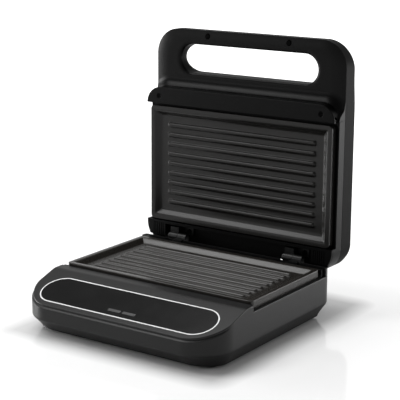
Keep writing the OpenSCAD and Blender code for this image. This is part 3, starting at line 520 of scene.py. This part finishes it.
def lid_inside(x, y):
    """Distance inside the lid's outline."""
    x = abs(x)
    cx, cy = HALF_W - CORNER_R, LID_FRONT - CORNER_R
    if x > cx and y > cy:
        return CORNER_R - math.hypot(x - cx, y - cy)
    if x > cx and y < CORNER_START:
        fx, fy, start = corner_fillet(LID_TAIL, FILLET)
        if start < math.atan2(fy - y, x - fx) < math.pi / 2:
            return FILLET - math.hypot(x - fx, y - fy)
        return min(CORNER_R - math.hypot(x - cx, y - CORNER_START), y + LID_TAIL)
    return min(HALF_W - x, LID_FRONT - y, y + LID_TAIL)


def grip_outside(x, y):
    """Distance outside the handle's opening, a slot with round ends."""
    return math.hypot(max(0.0, abs(x) - GRIP_HALF_L + GRIP_HALF_H), y - GRIP_MID) - GRIP_HALF_H


def shoulder_outside(x, y):
    """Distance from the shoulder towards the handle."""
    x = abs(x)
    cx, cy = HALF_W - SHOULDER_R, SHOULDER - SHOULDER_R
    if x > cx and y > cy:
        return math.hypot(x - cx, y - cy) - SHOULDER_R
    return max(y - SHOULDER, x - HALF_W)


def screw_well_outside(x, y):
    """Distance outside the wells of the handle's screws."""
    return math.hypot(abs(x) - GRIP_SCREW[0], y - GRIP_SCREW[1]) - SCREW_WELL_R


def beside_band(y):
    """1 beside the band and 0 at the handle, with a soft step between."""
    return smooth((BAY_FRONT + 11.0 - y) / 10.0)


def handle_face():
    """Inner face of the handle: it rolls off to the parting line, has a soft lip round the
    opening and wells for two screws, and falls in one hollow to the band's edge."""
    hollow_r, foot = 13.0, 2.2       # the hollow turns up at the foot, behind the band's edge
    roll_w, roll_d, roll_power = 17.0, 2.2, 2.1
    lip = 4.5
    step_low = 0.8
    end = PARTING - SEAM

    def height(x, y):
        h = FACE_H
        in_by = max(0.0, lid_inside(x, y))
        if in_by < roll_w:
            roll = ((roll_w - in_by) / roll_w) ** roll_power
            h += roll_d * (1 - beside_band(y)) * roll
        d = max(0.0, shoulder_outside(x, y) + foot)
        reach = hollow_r * 0.866     # a sixth of a circle
        if d < reach:
            h -= hollow_r - math.sqrt(hollow_r ** 2 - (reach - d) ** 2)
        # beside the band it comes down to the rim of the side wall
        at_side = smooth((abs(x) - HALF_W + 10.0) / 8.0)
        return h + (LID_RIM - h) * beside_band(y) * at_side

    # what ends the face on each of its borders: the distance inside it
    ends = {"rim": lid_inside, "grip": lambda x, y: grip_outside(x, y) - lip,
            "step": lambda x, y: shoulder_outside(x, y) + foot, "well": screw_well_outside}

    # finer round the screw wells and the corners
    xs = both_ways(lines([0, 44, 53, 80, 93.5, HALF_W + 0.4], [3.0, 0.6, 3.0, 1.2, 0.7]))
    ys = lines([BAY_FRONT, SHOULDER - foot, 170.0, 203.0, 208.6, 216.0, LID_FRONT + 0.4],
               [0.7, 0.6, 1.2, 0.8, 0.6, 0.8])
    bm = bmesh.new()
    faces = field(bm, xs, ys, lambda x, y: min(end_at(x, y) for end_at in ends.values()), height)
    edges = {kind: [] for kind in ends}
    for e in border(faces):
        p = (e.verts[0].co + e.verts[1].co) / 2
        edges[min(ends, key=lambda kind: abs(ends[kind](p.x, p.y)))].append(e)

    def straight_rings(p):
        return [(p.x, p.y, end)]

    def grip_rings(p):
        g = gradient(grip_outside, p.x, p.y)
        out = []
        for k in range(1, 7):
            a = k * math.pi / 12
            out.append((p.x - g.x * lip * math.sin(a), p.y - g.y * lip * math.sin(a),
                        p.z + (end - p.z) * (1 - math.cos(a))))
        return out + [(p.x, p.y, end)]

    def step_rings(p):
        g = gradient(shoulder_outside, p.x, p.y)
        low = min(p.z, step_low + (LID_RIM - step_low) * beside_band(p.y))
        profile = [(0.0, low), (WALL, low), (WALL, end), (0.0, end)]
        return [(p.x - g.x * d, p.y - g.y * d, z) for d, z in profile]

    last = {}
    for kind, rings in (("rim", straight_rings), ("grip", grip_rings), ("step", step_rings),
                        ("well", straight_rings)):
        for v, column in skirt(bm, edges[kind], rings).items():
            if kind == "step" and v in last:
                # closes the step's end, where it meets the rim
                bm.faces.new(column + [last[v]])
            last.setdefault(v, column[-1])
    underside(bm, faces, last, lambda x, y: end)
    return bm


def wall_run(bm, path, thick, r_low):
    """Wall along a path of (x, y, outward x, outward y, low, high), its low edge rounded."""
    rings = []
    for x, y, nx, ny, z0, z1 in path:
        section = edge_rings(z0, z1, r_low, 0, 3)
        section += [(thick - d, z) for d, z in reversed(section)]
        rings.append([(x - nx * d, y - ny * d, z) for d, z in section])
    rows = loft(bm, rings)
    fill(bm, rows[0])
    fill(bm, rows[-1])


def lid_walls(bm):
    """Side and rear walls of the lid's inner shell, from the handle to the recess round the
    hinges."""
    end = PARTING - SEAM
    tail_rim, rear_rim = 2.4, 12.4   # low edge beside the deck, and over the hinges
    path = [(HALF_W, BAY_FRONT + 0.5, 1, 0, LID_RIM, end), (HALF_W, DECK_FRONT, 1, 0, LID_RIM, end),
            (HALF_W, DECK_FRONT, 1, 0, tail_rim, end)]
    path += [(*p, tail_rim, end) for p in corner_path(LID_TAIL, FILLET)]
    path += [(RECESS_HALF_W, -LID_TAIL, 0, -1, low, end) for low in (tail_rim, rear_rim)]
    mirrored = [(-x, y, -nx, ny, z0, z1) for x, y, nx, ny, z0, z1 in reversed(path)]
    wall_run(bm, path + mirrored, WALL, 0.7)


def lid_inner():
    """The lid's inner shell: new faces where they are seen, round the CAD node's own inside."""
    bm = handle_face()
    lid_walls(bm)
    wall_x = HALF_W - WALL
    box(bm, (-wall_x, BAY_FRONT, PLATE_FACE), (wall_x, BAY_FRONT + WALL, FACE_H))
    join(bm, inner_core("lid_inner_shell", LID, [
        ((wall_x + CUT, 0, 0), (1, 0, 0)), ((-wall_x - CUT, 0, 0), (-1, 0, 0)),
        ((0, BAY_FRONT - CUT, 0), (0, 1, 0)), ((0, WALL - LID_TAIL, 0), (0, -1, 0))]))
    return bm


def lid_back():
    """Back of the lid: it falls to the handle, rolls down to the rear wall, and has rounded
    edges and a soft tube round the handle's opening."""
    end = PARTING + SEAM
    break_w = 0.25                   # of the low outer edge
    tail_r = 19.0
    roll_y = tail_r - LID_TAIL
    side_r, side_tail, grip_side_r = 3.2, 5.0, 6.3
    lip_r, lip_end_r = 4.6, 10.4

    def reach(y):
        """How far the side's rounded edge reaches in: more beside the handle."""
        return (side_r * smooth((y + LID_TAIL) / side_tail)
                + grip_side_r * smooth((y - GRIP_MID) / 24.0))

    def lip(x, y):
        """Radius of the edge round the opening, larger at its ends."""
        along = abs(x) - GRIP_HALF_L + GRIP_HALF_H
        if along <= 0:
            return lip_r
        return lip_r + lip_end_r * along ** 2 / (along ** 2 + (y - GRIP_MID) ** 2)

    def back(x, y):
        roll = min(tail_r, max(0.0, roll_y - y))
        fall = (BACK_H - GRIP_BACK_H) * smooth((y - BAY_FRONT - 5.0) / 40.0)
        return BACK_H - fall - tail_r + math.sqrt(tail_r ** 2 - roll ** 2)

    def inner(x, y):
        return max(end, back(x, y) - WALL)

    def from_rim(x, y):
        return lid_inside(x, y) - reach(y)

    def from_grip(x, y):
        return grip_outside(x, y) - lip(x, y)

    xs = both_ways(lines([0, 70, 98, HALF_W], [3.5, 1.5, 1.0]))
    ys = [roll_y - tail_r * math.cos(math.radians(a)) for a in range(0, 86, 6)]
    ys += lines([roll_y, 140, 200, LID_FRONT], [4.0, 1.5, 1.0])
    bm = bmesh.new()
    faces = field(bm, xs, ys, lambda x, y: min(from_rim(x, y), from_grip(x, y)), back)
    rim_edges, grip_edges = [], []
    for e in border(faces):
        p = (e.verts[0].co + e.verts[1].co) / 2
        at_grip = abs(from_grip(p.x, p.y)) < abs(from_rim(p.x, p.y))
        (grip_edges if at_grip else rim_edges).append(e)

    def rings(p, outline):
        """Quarter round out to the outline, down to the seam, and back up inside."""
        g = gradient(outline, p.x, p.y)
        e = max(0.0, outline(p.x, p.y))
        drop = min(e, p.z - end - 0.3)
        out = [(p.x - g.x * e * math.sin(a), p.y - g.y * e * math.sin(a),
                p.z - drop * (1 - math.cos(a))) for a in (k * math.pi / 16 for k in range(1, 9))]
        x, y = p.x - g.x * e, p.y - g.y * e
        out += [(x, y, end + break_w), (x + g.x * break_w, y + g.y * break_w, end)]
        x, y = x + g.x * WALL, y + g.y * WALL
        return out + [(x, y, end), (x, y, max(end, p.z - max(e, WALL))),
                      (p.x, p.y, inner(p.x, p.y))]

    last = {}
    for edges, outline in ((rim_edges, lid_inside), (grip_edges, grip_outside)):
        for v, column in skirt(bm, edges, lambda p: rings(p, outline)).items():
            last[v] = column[-1]
    underside(bm, faces, last, inner)
    return bm


def lid_band():
    """The flat band between the upper plate and the handle."""
    half_w = HALF_W - 0.5
    cx = half_w - BAND_LEN           # its corners are as round as it is long
    outline = ([(half_w, BAY_FRONT)] + arc(cx, BAY_FRONT, BAND_LEN, 0, 90, 14)[1:]
               + arc(-cx, BAY_FRONT, BAND_LEN, 90, 180, 14)[:-1] + [(-half_w, BAY_FRONT)])
    bm = bmesh.new()
    prism(bm, outline, *BAND_H, 0.6, 0.0,
          holes=[circle(side * BAND_SCREW[0], BAND_SCREW[1], 2.5) for side in (-1, 1)])
    return bm


piece("lid_inner_casing", "lid", LID, lid_inner(), face_black,
      ["lid_inner_shell"])
piece("lid_back_casing", "lid", LID, lid_back(), shell_black,
      ["lid_outer_cover"])
piece("lid_band_trim", "lid", LID, lid_band(), trim_black, ["lid_band"])


# ---- Cooking plates ----

PLATE_R = 4.0
RIM_W = 5.25
TRAY_DEPTH = 5.25                    # and the run of the tray's walls, which slope at 45 degrees
RIDGE_PITCH, RIDGE_R, RIDGE_ROWS = 10.3, 2.5, 4         # rows on each side of the middle one
RIDGE_HALF_L = PLATE_HALF_W - RIM_W - TRAY_DEPTH - 11.5     # to the middle of its round end
PLATE_UNDER = 8.5
BOSS_R, BOSS_H, BOSS_IN = 4.0, 8.5, 16.0


def above_zero(t):
    """max(t, 0), with a soft bend near 0."""
    soft, far = 0.9, 30.0
    return max(t, 0.0) if abs(t) >= far else 0.5 * (t + math.sqrt(t * t + soft * soft))


def tray(x, y):
    """Depth of the tray's surface below the rim: soft-edged sloping walls, then ridges with
    round ends on the floor."""
    x, w = abs(x), abs(y - PLATE_MID)
    into = min(PLATE_HALF_W - RIM_W - x, PLATE_HALF_L - RIM_W - w)
    depth = above_zero(into) - above_zero(into - TRAY_DEPTH)
    row = round(w / RIDGE_PITCH)
    d = math.hypot(w - row * RIDGE_PITCH, max(0.0, x - RIDGE_HALF_L))
    # the ridge's foot has a fillet, which starts inside its radius
    foot_in, foot_w, foot_h = 1.2, 2.6, 0.9
    foot_end = RIDGE_R - foot_in + foot_w
    if row <= RIDGE_ROWS and d < foot_end:
        top = math.sqrt(max(RIDGE_R * RIDGE_R - d * d, 0.0))
        foot = foot_h * ((foot_end - d) / foot_w) ** 2 if d > RIDGE_R - foot_in else 0.0
        depth -= max(top, foot)
    return depth


def plate_inside(x, y):
    """Distance inside a plate's outline."""
    dx = abs(x) - PLATE_HALF_W + PLATE_R
    dy = abs(y - PLATE_MID) - PLATE_HALF_L + PLATE_R
    if dx > 0 and dy > 0:
        return PLATE_R - math.hypot(dx, dy)
    return PLATE_R - max(dx, dy)


def cooking_plate():
    """Cast plate with a ridged tray, a rounded edge, and bosses underneath for its screws."""
    edge = 0.7
    # finer at the ridges' ends and on the sloping walls
    xs = both_ways(lines([0, 84.0, 91.0, 97.0, PLATE_HALF_W], [14.0, 0.55, 1.0, 0.6]))
    ys = both_ways(lines([0, 45, 51, PLATE_HALF_L], [0.5, 0.7, 0.5]), PLATE_MID)
    bm = bmesh.new()
    faces = field(bm, xs, ys, lambda x, y: plate_inside(x, y) - edge,
                  lambda x, y: PLATE_FACE + tray(x, y))

    def rings(p):
        g = gradient(plate_inside, p.x, p.y)
        out = [(p.x - g.x * edge * math.sin(a), p.y - g.y * edge * math.sin(a),
                p.z + edge * (1 - math.cos(a))) for a in (k * math.pi / 8 for k in range(1, 5))]
        return out + [(p.x - g.x * edge, p.y - g.y * edge, PLATE_UNDER), (p.x, p.y, PLATE_UNDER)]

    last = {v: column[-1] for v, column in skirt(bm, border(faces), rings).items()}
    underside(bm, faces, last, lambda x, y: PLATE_UNDER)
    for x in (BOSS_IN - PLATE_HALF_W, PLATE_HALF_W - BOSS_IN):
        for y in (PLATE_MID - PLATE_HALF_L + BOSS_IN, PLATE_MID + PLATE_HALF_L - BOSS_IN):
            prism(bm, circle(x, y, BOSS_R), PLATE_UNDER, PLATE_UNDER + BOSS_H, 0.0, 0.3)
    return bm


piece("upper_grill_plate", "lid", LID, cooking_plate(), upper_coating_painted_shade,
      ["upper_plate"], sharp=50)
piece("lower_grill_plate", "base", LOWER, cooking_plate(), lower_coating_painted_light,
      ["lower_plate"], sharp=50)


# ---- Base ----

SLOPE_START = BAY_FRONT + 11.0       # a level strip lies in front of the plate, then a slope
SLOPE = math.radians(18.5)
BEND_YS = [SLOPE_START + d for d in (14, 8, 4, 2, 1, 0, -1, -2, -4, -7)]
BASE_FRONT = SLOPE_START + 55.5
BASE_FRONT_R = 35.0
BASE_SETBACK = 4.0                   # of the rear wall, in front of the axis
BASE_FILLET = 2.5                    # where the rear corners meet it
POST_Y = 10.0                        # from here on back the rear corners are full height
BEVEL_SIDE, BEVEL_FRONT = 8.0, 15.0  # width of the bevel round the foot
# heights, from the axis
STRIP_Z = -3.1
RIM_Z = -9.0                         # of the walls beside the plate
REAR_Z = -1.2
NOTCH_Z = -5.8
BEVEL_TOP = -37.0
FLOOR_Z = -50.5
NOTCHES = ((-84.65, -60.05), (57.1, 81.7))      # in the rear wall, for the hinges


def top_z(y):
    """Height of the front's top face at a distance y in front of the hinge axis."""
    soft = 2.2
    t = y - SLOPE_START
    return STRIP_Z - math.tan(SLOPE) * 0.5 * (t + math.sqrt(t * t + soft * soft))


def base_stations():
    """(x, y, outward x, outward y, kind of top) round the base from the front's middle, by
    the right, the rear and the left, and how many of them are on the right. The front and the
    sides are symmetrical."""
    cx, cy = HALF_W - BASE_FRONT_R, BASE_FRONT - BASE_FRONT_R
    right = []
    for k in range(25):
        a = math.radians(90 - 90 * k / 24)
        right.append((cx + BASE_FRONT_R * math.cos(a), cy + BASE_FRONT_R * math.sin(a),
                      math.cos(a), math.sin(a), "top"))
    right += [(HALF_W, y, 1.0, 0.0, "top") for y in [*BEND_YS, BAY_FRONT]]
    right += [(HALF_W, BAY_FRONT, 1.0, 0.0, "rim"), (HALF_W, CORNER_START, 1.0, 0.0, "rim")]
    for x, y, nx, ny in corner_path(-BASE_SETBACK, BASE_FILLET)[1:]:
        if y < POST_Y and right[-1][4] == "rim":
            a = math.asin((CORNER_START - POST_Y) / CORNER_R)
            post = (HALF_W - CORNER_R + CORNER_R * math.cos(a), POST_Y, math.cos(a), -math.sin(a))
            right += [(*post, "rim"), (*post, "rear")]
        right.append((x, y, nx, ny, right[-1][4]))
    rear = []
    for x0, x1 in reversed(NOTCHES):
        for x, kind in ((x1, "rear"), (x1, "notch"), (x0, "notch"), (x0, "rear")):
            rear.append((x, BASE_SETBACK, 0.0, -1.0, kind))
    left = [(-x, y, -nx, ny, kind) for x, y, nx, ny, kind in reversed(right)]
    return [(0.0, BASE_FRONT, 0.0, 1.0, "top")] + right + rear + left, len(right)


def base_shell():
    """Walls and top of the base. Returns the bmesh and, for the sloping face and then for its
    inner side, the loop of vertices round it, which is left open for the panel's seat."""
    stations, count = base_stations()
    n = len(stations)
    lip_w = 4.0                      # of the lip that the bottom cover closes against
    mitre_r = 4.5

    def crown(y, kind):
        return {"top": top_z(y), "rim": RIM_Z, "rear": REAR_Z, "notch": NOTCH_Z}[kind]

    def ring(inset, z=None, drop=0.0, bevel=0.0, lean=0.0):
        """Ring of the wall: inset by a distance, by a share of the bevel's width, and by a lean
        round the front, at a height or a drop below the crown. The bevel's rear corners run
        down to a mitre of small radius. Its y is BASE's, towards the back."""
        out = []
        for x, y, nx, ny, kind in stations:
            if ny < 0 and abs(nx) > 0:
                low = (math.copysign(HALF_W - BEVEL_SIDE - mitre_r, x) + mitre_r * nx,
                       BASE_SETBACK + BEVEL_SIDE + mitre_r * (1 + ny))
                px = x + bevel * (low[0] - x) - nx * inset
                py = y + bevel * (low[1] - y) - ny * inset
            else:
                front = max(0.0, ny)
                bevel_w = BEVEL_SIDE + (BEVEL_FRONT - BEVEL_SIDE) * front ** 2
                d = inset + bevel * bevel_w + lean * smooth(1.5 * front)
                px, py = x - nx * d, y - ny * d
            height = crown(py if kind == "top" else y, kind) - drop if z is None else z
            out.append((px, -py, height))
        return out

    def bevel_z(t):
        """Height at a share t of the bevel's width."""
        return BEVEL_TOP + (FLOOR_Z - BEVEL_TOP) * t

    # outside, from the cover's lip up: round foot, bevel, and a parabola on to the upright wall
    foot_r = 1.2
    rings = [ring(lip_w, FLOOR_Z, bevel=1.0), ring(foot_r, FLOOR_Z, bevel=1.0)]
    rings += [ring(foot_r * (1 - math.sin(a)), FLOOR_Z + foot_r * (1 - math.cos(a)) * 0.9,
                   bevel=1.0 - 0.06 * k) for k, a in ((1, math.pi / 6), (2, math.pi / 3))]
    bend, bend_h = 0.12, 1.6
    rings += [ring(0.0, bevel_z(t), bevel=t) for t in (0.90, 0.5, bend)]
    for t in (0.25, 0.5, 0.75, 1.0):
        z = ((1 - t) ** 2 * bevel_z(bend) + 2 * t * (1 - t) * BEVEL_TOP
             + t * t * (BEVEL_TOP + bend_h))
        rings.append(ring(0.0, z, bevel=bend * (1 - t) ** 2))
    # groove under the front's top edge, and the rounded edge: (drop, lean)
    groove = ((3.4, 0.0), (3.0, 0.2), (2.7, 0.9), (2.2, 2.1), (1.7, 2.1), (1.4, 1.6))
    rings += [ring(0.0, drop=drop, lean=lean) for drop, lean in groove]
    edge = 0.8
    rings += [ring(edge * (1 - math.cos(a)), drop=edge * (1 - math.sin(a)), lean=1.5)
              for a in (k * math.pi / 8 for k in range(5))]
    bm = bmesh.new()
    top = loft(bm, rings)[-1]
    # inside of the walls, down to the cover's lip
    under = WALL / math.cos(SLOPE)
    crest = [(x, y, z - (under if stations[i][4] == "top" else 0.0))
             for i, (x, y, z) in enumerate(ring(WALL, lean=2.6))]
    inner = loft(bm, [crest, ring(WALL, BEVEL_TOP + 5.0),
                      ring(WALL, FLOOR_Z + WALL, bevel=0.9), ring(lip_w, FLOOR_Z, bevel=1.0)])
    for i in range(n):
        j = (i + 1) % n
        if stations[i][4] != "top" or stations[j][4] != "top":
            bm.faces.new((top[i], top[j], inner[0][j], inner[0][i]))
    # strip and bend, above and below: rows across between the right and the left
    tops = [i for i in range(count + 1) if stations[i][4] == "top"]
    flat = [k for k in range(len(tops)) if stations[tops[k]][1] <= BEND_YS[0]]
    loops = []
    for row in (top, inner[0]):
        pairs = [(row[i], row[(n - i) % n]) for i in tops]
        for a, b in zip(flat, flat[1:]):
            bm.faces.new((pairs[a][0], pairs[b][0], pairs[b][1], pairs[a][1]))
        loops.append([p[1] for p in reversed(pairs[1:flat[0] + 1])] + [pairs[0][0]]
                     + [p[0] for p in pairs[1:flat[0] + 1]])
    last = tops[-1]
    bm.faces.new((top[last], top[n - last], inner[0][n - last], inner[0][last]))
    return bm, loops


PANEL_HALF_L, PANEL_HALF_H = 100.3, 19.9
PANEL_DOWN = 31.2                    # its middle, down the slope
SEAT_DEPTH = 1.2
RING_W = 1.25
LENS_L, LENS_H, LENS_GAP = 14.4, 3.4, 2.5
LENS_PITCH = LENS_L + LENS_GAP
LENS_SHIFT, LENS_DROP = 2.6, 11.3    # the lenses' place, from the panel's middle
POST_OUT = 12.0                      # the indicator board's posts, from a lens's middle
# x along the panel, y up the slope, z out of it
SLOPE_PLACE = (Matrix.Translation((0, -SLOPE_START - PANEL_DOWN * math.cos(SLOPE),
                                   STRIP_Z - PANEL_DOWN * math.sin(SLOPE)))
               @ Matrix.Rotation(SLOPE, 4, "X"))
PANEL_PLACE = BASE @ SLOPE_PLACE


def base_casing():
    """The base's housing, with the panel's seat and the posts of the indicator board."""
    bm, (above, below) = base_shell()
    outline = stadium(PANEL_HALF_L + 0.1, PANEL_HALF_H + 0.1)
    seat = loft(bm, [[SLOPE_PLACE @ Vector((x, y, z)) for x, y in outline]
                     for z in (0.0, -SEAT_DEPTH)])
    fill(bm, above, seat[0])
    fill(bm, seat[1])
    fill(bm, below)
    posts = bmesh.new()
    for side in (-1, 1):
        x = LENS_SHIFT + side * (LENS_PITCH / 2 + POST_OUT)
        prism(posts, circle(x, -LENS_DROP, 3.2), -11.0, -2.0)
    bmesh.ops.transform(posts, matrix=SLOPE_PLACE, verts=posts.verts)
    join(bm, posts)
    return bm


def panel_plate():
    bm = bmesh.new()
    prism(bm, stadium(PANEL_HALF_L - 1.2, PANEL_HALF_H - 1.2), 0.05 - SEAT_DEPTH, 0.06,
          0.0, 0.1, n=2)
    return bm


def panel_ring():
    bm = bmesh.new()
    prism(bm, stadium(PANEL_HALF_L, PANEL_HALF_H), 0.05 - SEAT_DEPTH, 0.08,
          holes=[stadium(PANEL_HALF_L - RING_W, PANEL_HALF_H - RING_W)])
    return bm


def lens_bar(side):
    """Lens of one indicator light, to the left at -1 and to the right at 1."""
    bm = bmesh.new()
    cx = LENS_SHIFT + side * LENS_PITCH / 2
    prism(bm, rounded(cx - LENS_L / 2, cx + LENS_L / 2, -LENS_DROP - LENS_H / 2,
                      -LENS_DROP + LENS_H / 2, 0.7, 4), -1.0, 0.14, 0.0, 0.1, n=2)
    return bm


piece("base_casing", "base", BASE, base_casing(), base_black,
      ["base_housing"])
# the frame is the CAD node's own mesh without its front strip, which the casing has
piece("base_plate_frame", "base", BASE,
      inner_core("base_inner_frame", BASE, [((0, CUT - BAY_FRONT, 0), (0, -1, 0))]),
      trim_black, ["base_inner_frame"])
piece("gloss_control_panel", "base", PANEL_PLACE, panel_plate(), panel_black,
      ["control_panel"])
piece("white_panel_ring", "base", PANEL_PLACE, panel_ring(), ring_white,
      ["panel_trim_ring"])
piece("power_lens_bar", "base", PANEL_PLACE, lens_bar(-1), lens_grey,
      ["power_light_lens"])
piece("ready_lens_bar", "base", PANEL_PLACE, lens_bar(1), lens_grey,
      ["ready_light_lens"])


# ---- CAD nodes that stay: soft shading and a slight break of their edges ----

for node in frame["nodes"].values():
    if node.hide_render:
        continue
    node.data.shade_smooth()
    planes = node.modifiers.new("Planes", "DECIMATE")
    planes.decimate_type = "DISSOLVE"
    planes.angle_limit = math.radians(1.0)
    edges = node.modifiers.new("Edges", "BEVEL")
    edges.width = 0.3 * MM
    edges.segments = 2
    edges.limit_method = "ANGLE"
    edges.angle_limit = math.radians(40)
    edges.harden_normals = True


# ---- Studio ----

FOOTPRINT = (0.113, 0.125, 0.0)      # half of the object's width and depth, in metres


def math_node(tree, operation, a, b):
    node = tree.nodes.new("ShaderNodeMath")
    node.operation = operation
    tree.links.new(a, node.inputs[0])
    tree.links.new(b, node.inputs[1])
    return node.outputs[0]


def seen(tree):
    """1 where the studio is looked at, straight, in a reflection or through glass."""
    path = tree.nodes.new("ShaderNodeLightPath")
    total = path.outputs["Is Camera Ray"]
    for name in ("Is Glossy Ray", "Is Transmission Ray"):
        total = math_node(tree, "MAXIMUM", total, path.outputs[name])
    return total


def from_object(tree, coords):
    """Distance of a place on the floor from the object's box."""
    reach = coords.outputs["Object"]
    for operation, value in (("ABSOLUTE", None), ("SUBTRACT", FOOTPRINT),
                             ("MAXIMUM", (0.0, 0.0, 0.0)), ("LENGTH", None)):
        node = tree.nodes.new("ShaderNodeVectorMath")
        node.operation = operation
        tree.links.new(reach, node.inputs[0])
        if value:
            node.inputs[1].default_value = value
        reach = node.outputs["Value" if operation == "LENGTH" else "Vector"]
    return reach


def floor_material():
    """White and glossy. What is seen of the floor is lifted to white, but the lift fades out in a
    band round the object's box: a painted contact shadow on top of the object's own shadow."""
    material, tree, shader, coords = new_material("studio_floor")
    blotches = ramp(tree, noise(tree, coords, 3.0), 0.3, 0.7, 0.0, 1.0)
    tree.links.new(blend_colours(tree, blotches, (0.66,) * 3, (0.68,) * 3),
                   shader.inputs["Base Color"])
    shader.inputs["Roughness"].default_value = 0.08
    shader.inputs["Specular IOR Level"].default_value = 0.5
    reach = from_object(tree, coords)
    # Painted contact shadow: within about 2.6 cm of the object's box the lift fades to none, so the
    # floor there is darker than its light makes it, seen straight and in reflections.
    near = ramp(tree, reach, 0.002, 0.026, 0.0, 0.37)
    far = ramp(tree, reach, 0.06, 1.1, 0.0, 0.63)
    lift = tree.nodes.new("ShaderNodeEmission")
    tree.links.new(math_node(tree, "MULTIPLY", seen(tree), math_node(tree, "ADD", near, far)),
                   lift.inputs["Strength"])
    add = tree.nodes.new("ShaderNodeAddShader")
    tree.links.new(shader.outputs["BSDF"], add.inputs[0])
    tree.links.new(lift.outputs["Emission"], add.inputs[1])
    tree.links.new(add.outputs["Shader"], tree.nodes["Material Output"].inputs["Surface"])
    return material


def studio_floor():
    far = 30.0
    bm = bmesh.new()
    bm.faces.new([bm.verts.new((x, y, cad_low.z))
                  for x, y in ((-far, -far), (far, -far), (far, far), (-far, far))])
    mesh = bpy.data.meshes.new("studio_floor")
    bm.to_mesh(mesh)
    bm.free()
    mesh.materials.append(floor_material())
    floor = bpy.data.objects.new("studio_floor", mesh)
    scene.collection.objects.link(floor)


def studio_world():
    """A plain level of light. What is seen is a white backdrop, darker towards the ceiling."""
    world = bpy.data.worlds.new("studio")
    scene.world = world
    world.use_nodes = True
    tree = world.node_tree
    light = tree.nodes["Background"]
    light.inputs["Color"].default_value = (1, 1, 1, 1)
    light.inputs["Strength"].default_value = 0.34
    direction = tree.nodes.new("ShaderNodeTexCoord")
    split = tree.nodes.new("ShaderNodeSeparateXYZ")
    tree.links.new(direction.outputs["Generated"], split.inputs["Vector"])
    up = ramp(tree, split.outputs["Z"], 0.25, 0.55, 0.0, 1.0)
    shown = tree.nodes.new("ShaderNodeBackground")
    shown.inputs["Strength"].default_value = 1.0
    tree.links.new(blend_colours(tree, up, (1.0,) * 3, (0.32,) * 3), shown.inputs["Color"])
    mix = tree.nodes.new("ShaderNodeMixShader")
    tree.links.new(seen(tree), mix.inputs["Fac"])
    tree.links.new(light.outputs["Background"], mix.inputs[1])
    tree.links.new(shown.outputs["Background"], mix.inputs[2])
    tree.links.new(mix.outputs["Shader"], tree.nodes["World Output"].inputs["Surface"])


def turned_from(look, place):
    """Rotation of a lamp or camera at place that looks at look."""
    return (Vector(place) - Vector(look)).to_track_quat("Z", "Y")


def softbox(name, place, size, power, look=(0, 0, 0.08)):
    light = bpy.data.lights.new(name, "AREA")
    light.shape = "RECTANGLE"
    light.size, light.size_y = size
    light.energy = power
    obj = bpy.data.objects.new(name, light)
    obj.location = place
    obj.rotation_mode = "QUATERNION"
    obj.rotation_quaternion = turned_from(look, place)
    scene.collection.objects.link(obj)


def studio_camera(azimuth, elevation, distance, lens):
    """Camera at a turn from the front towards the right and a height, in degrees."""
    azimuth, elevation = math.radians(azimuth), math.radians(elevation)
    target = hinge + Vector((-0.04435, 0, 0.04406))
    back = Vector((math.sin(azimuth) * math.cos(elevation),
                   -math.cos(azimuth) * math.cos(elevation), math.sin(elevation)))
    data = bpy.data.cameras.new("camera")
    data.sensor_width = 36.0
    data.lens = lens
    obj = bpy.data.objects.new("camera", data)
    obj.location = target + back * distance
    obj.rotation_mode = "QUATERNION"
    obj.rotation_quaternion = turned_from(target, obj.location)
    scene.collection.objects.link(obj)
    scene.camera = obj


studio_floor()
studio_world()
softbox("key", (-0.95, -0.45, 1.45), (0.6, 0.6), 9)
softbox("overhead", (-0.5, 0.35, 1.65), (1.4, 1.0), 16)
softbox("left_low", (-1.25, -0.33, 0.28), (0.5, 0.4), 9, (0, 0, 0.15))
softbox("front_fill", (-0.80, -1.10, 0.62), (0.4, 0.25), 1.1, (0, 0, 0.2))
softbox("right_low", (1.0, 1.1, 0.12), (0.7, 0.3), 5.5)
studio_camera(35.0, 13.75, 1.3545, 117.06)
scene.view_settings.view_transform = "Standard"
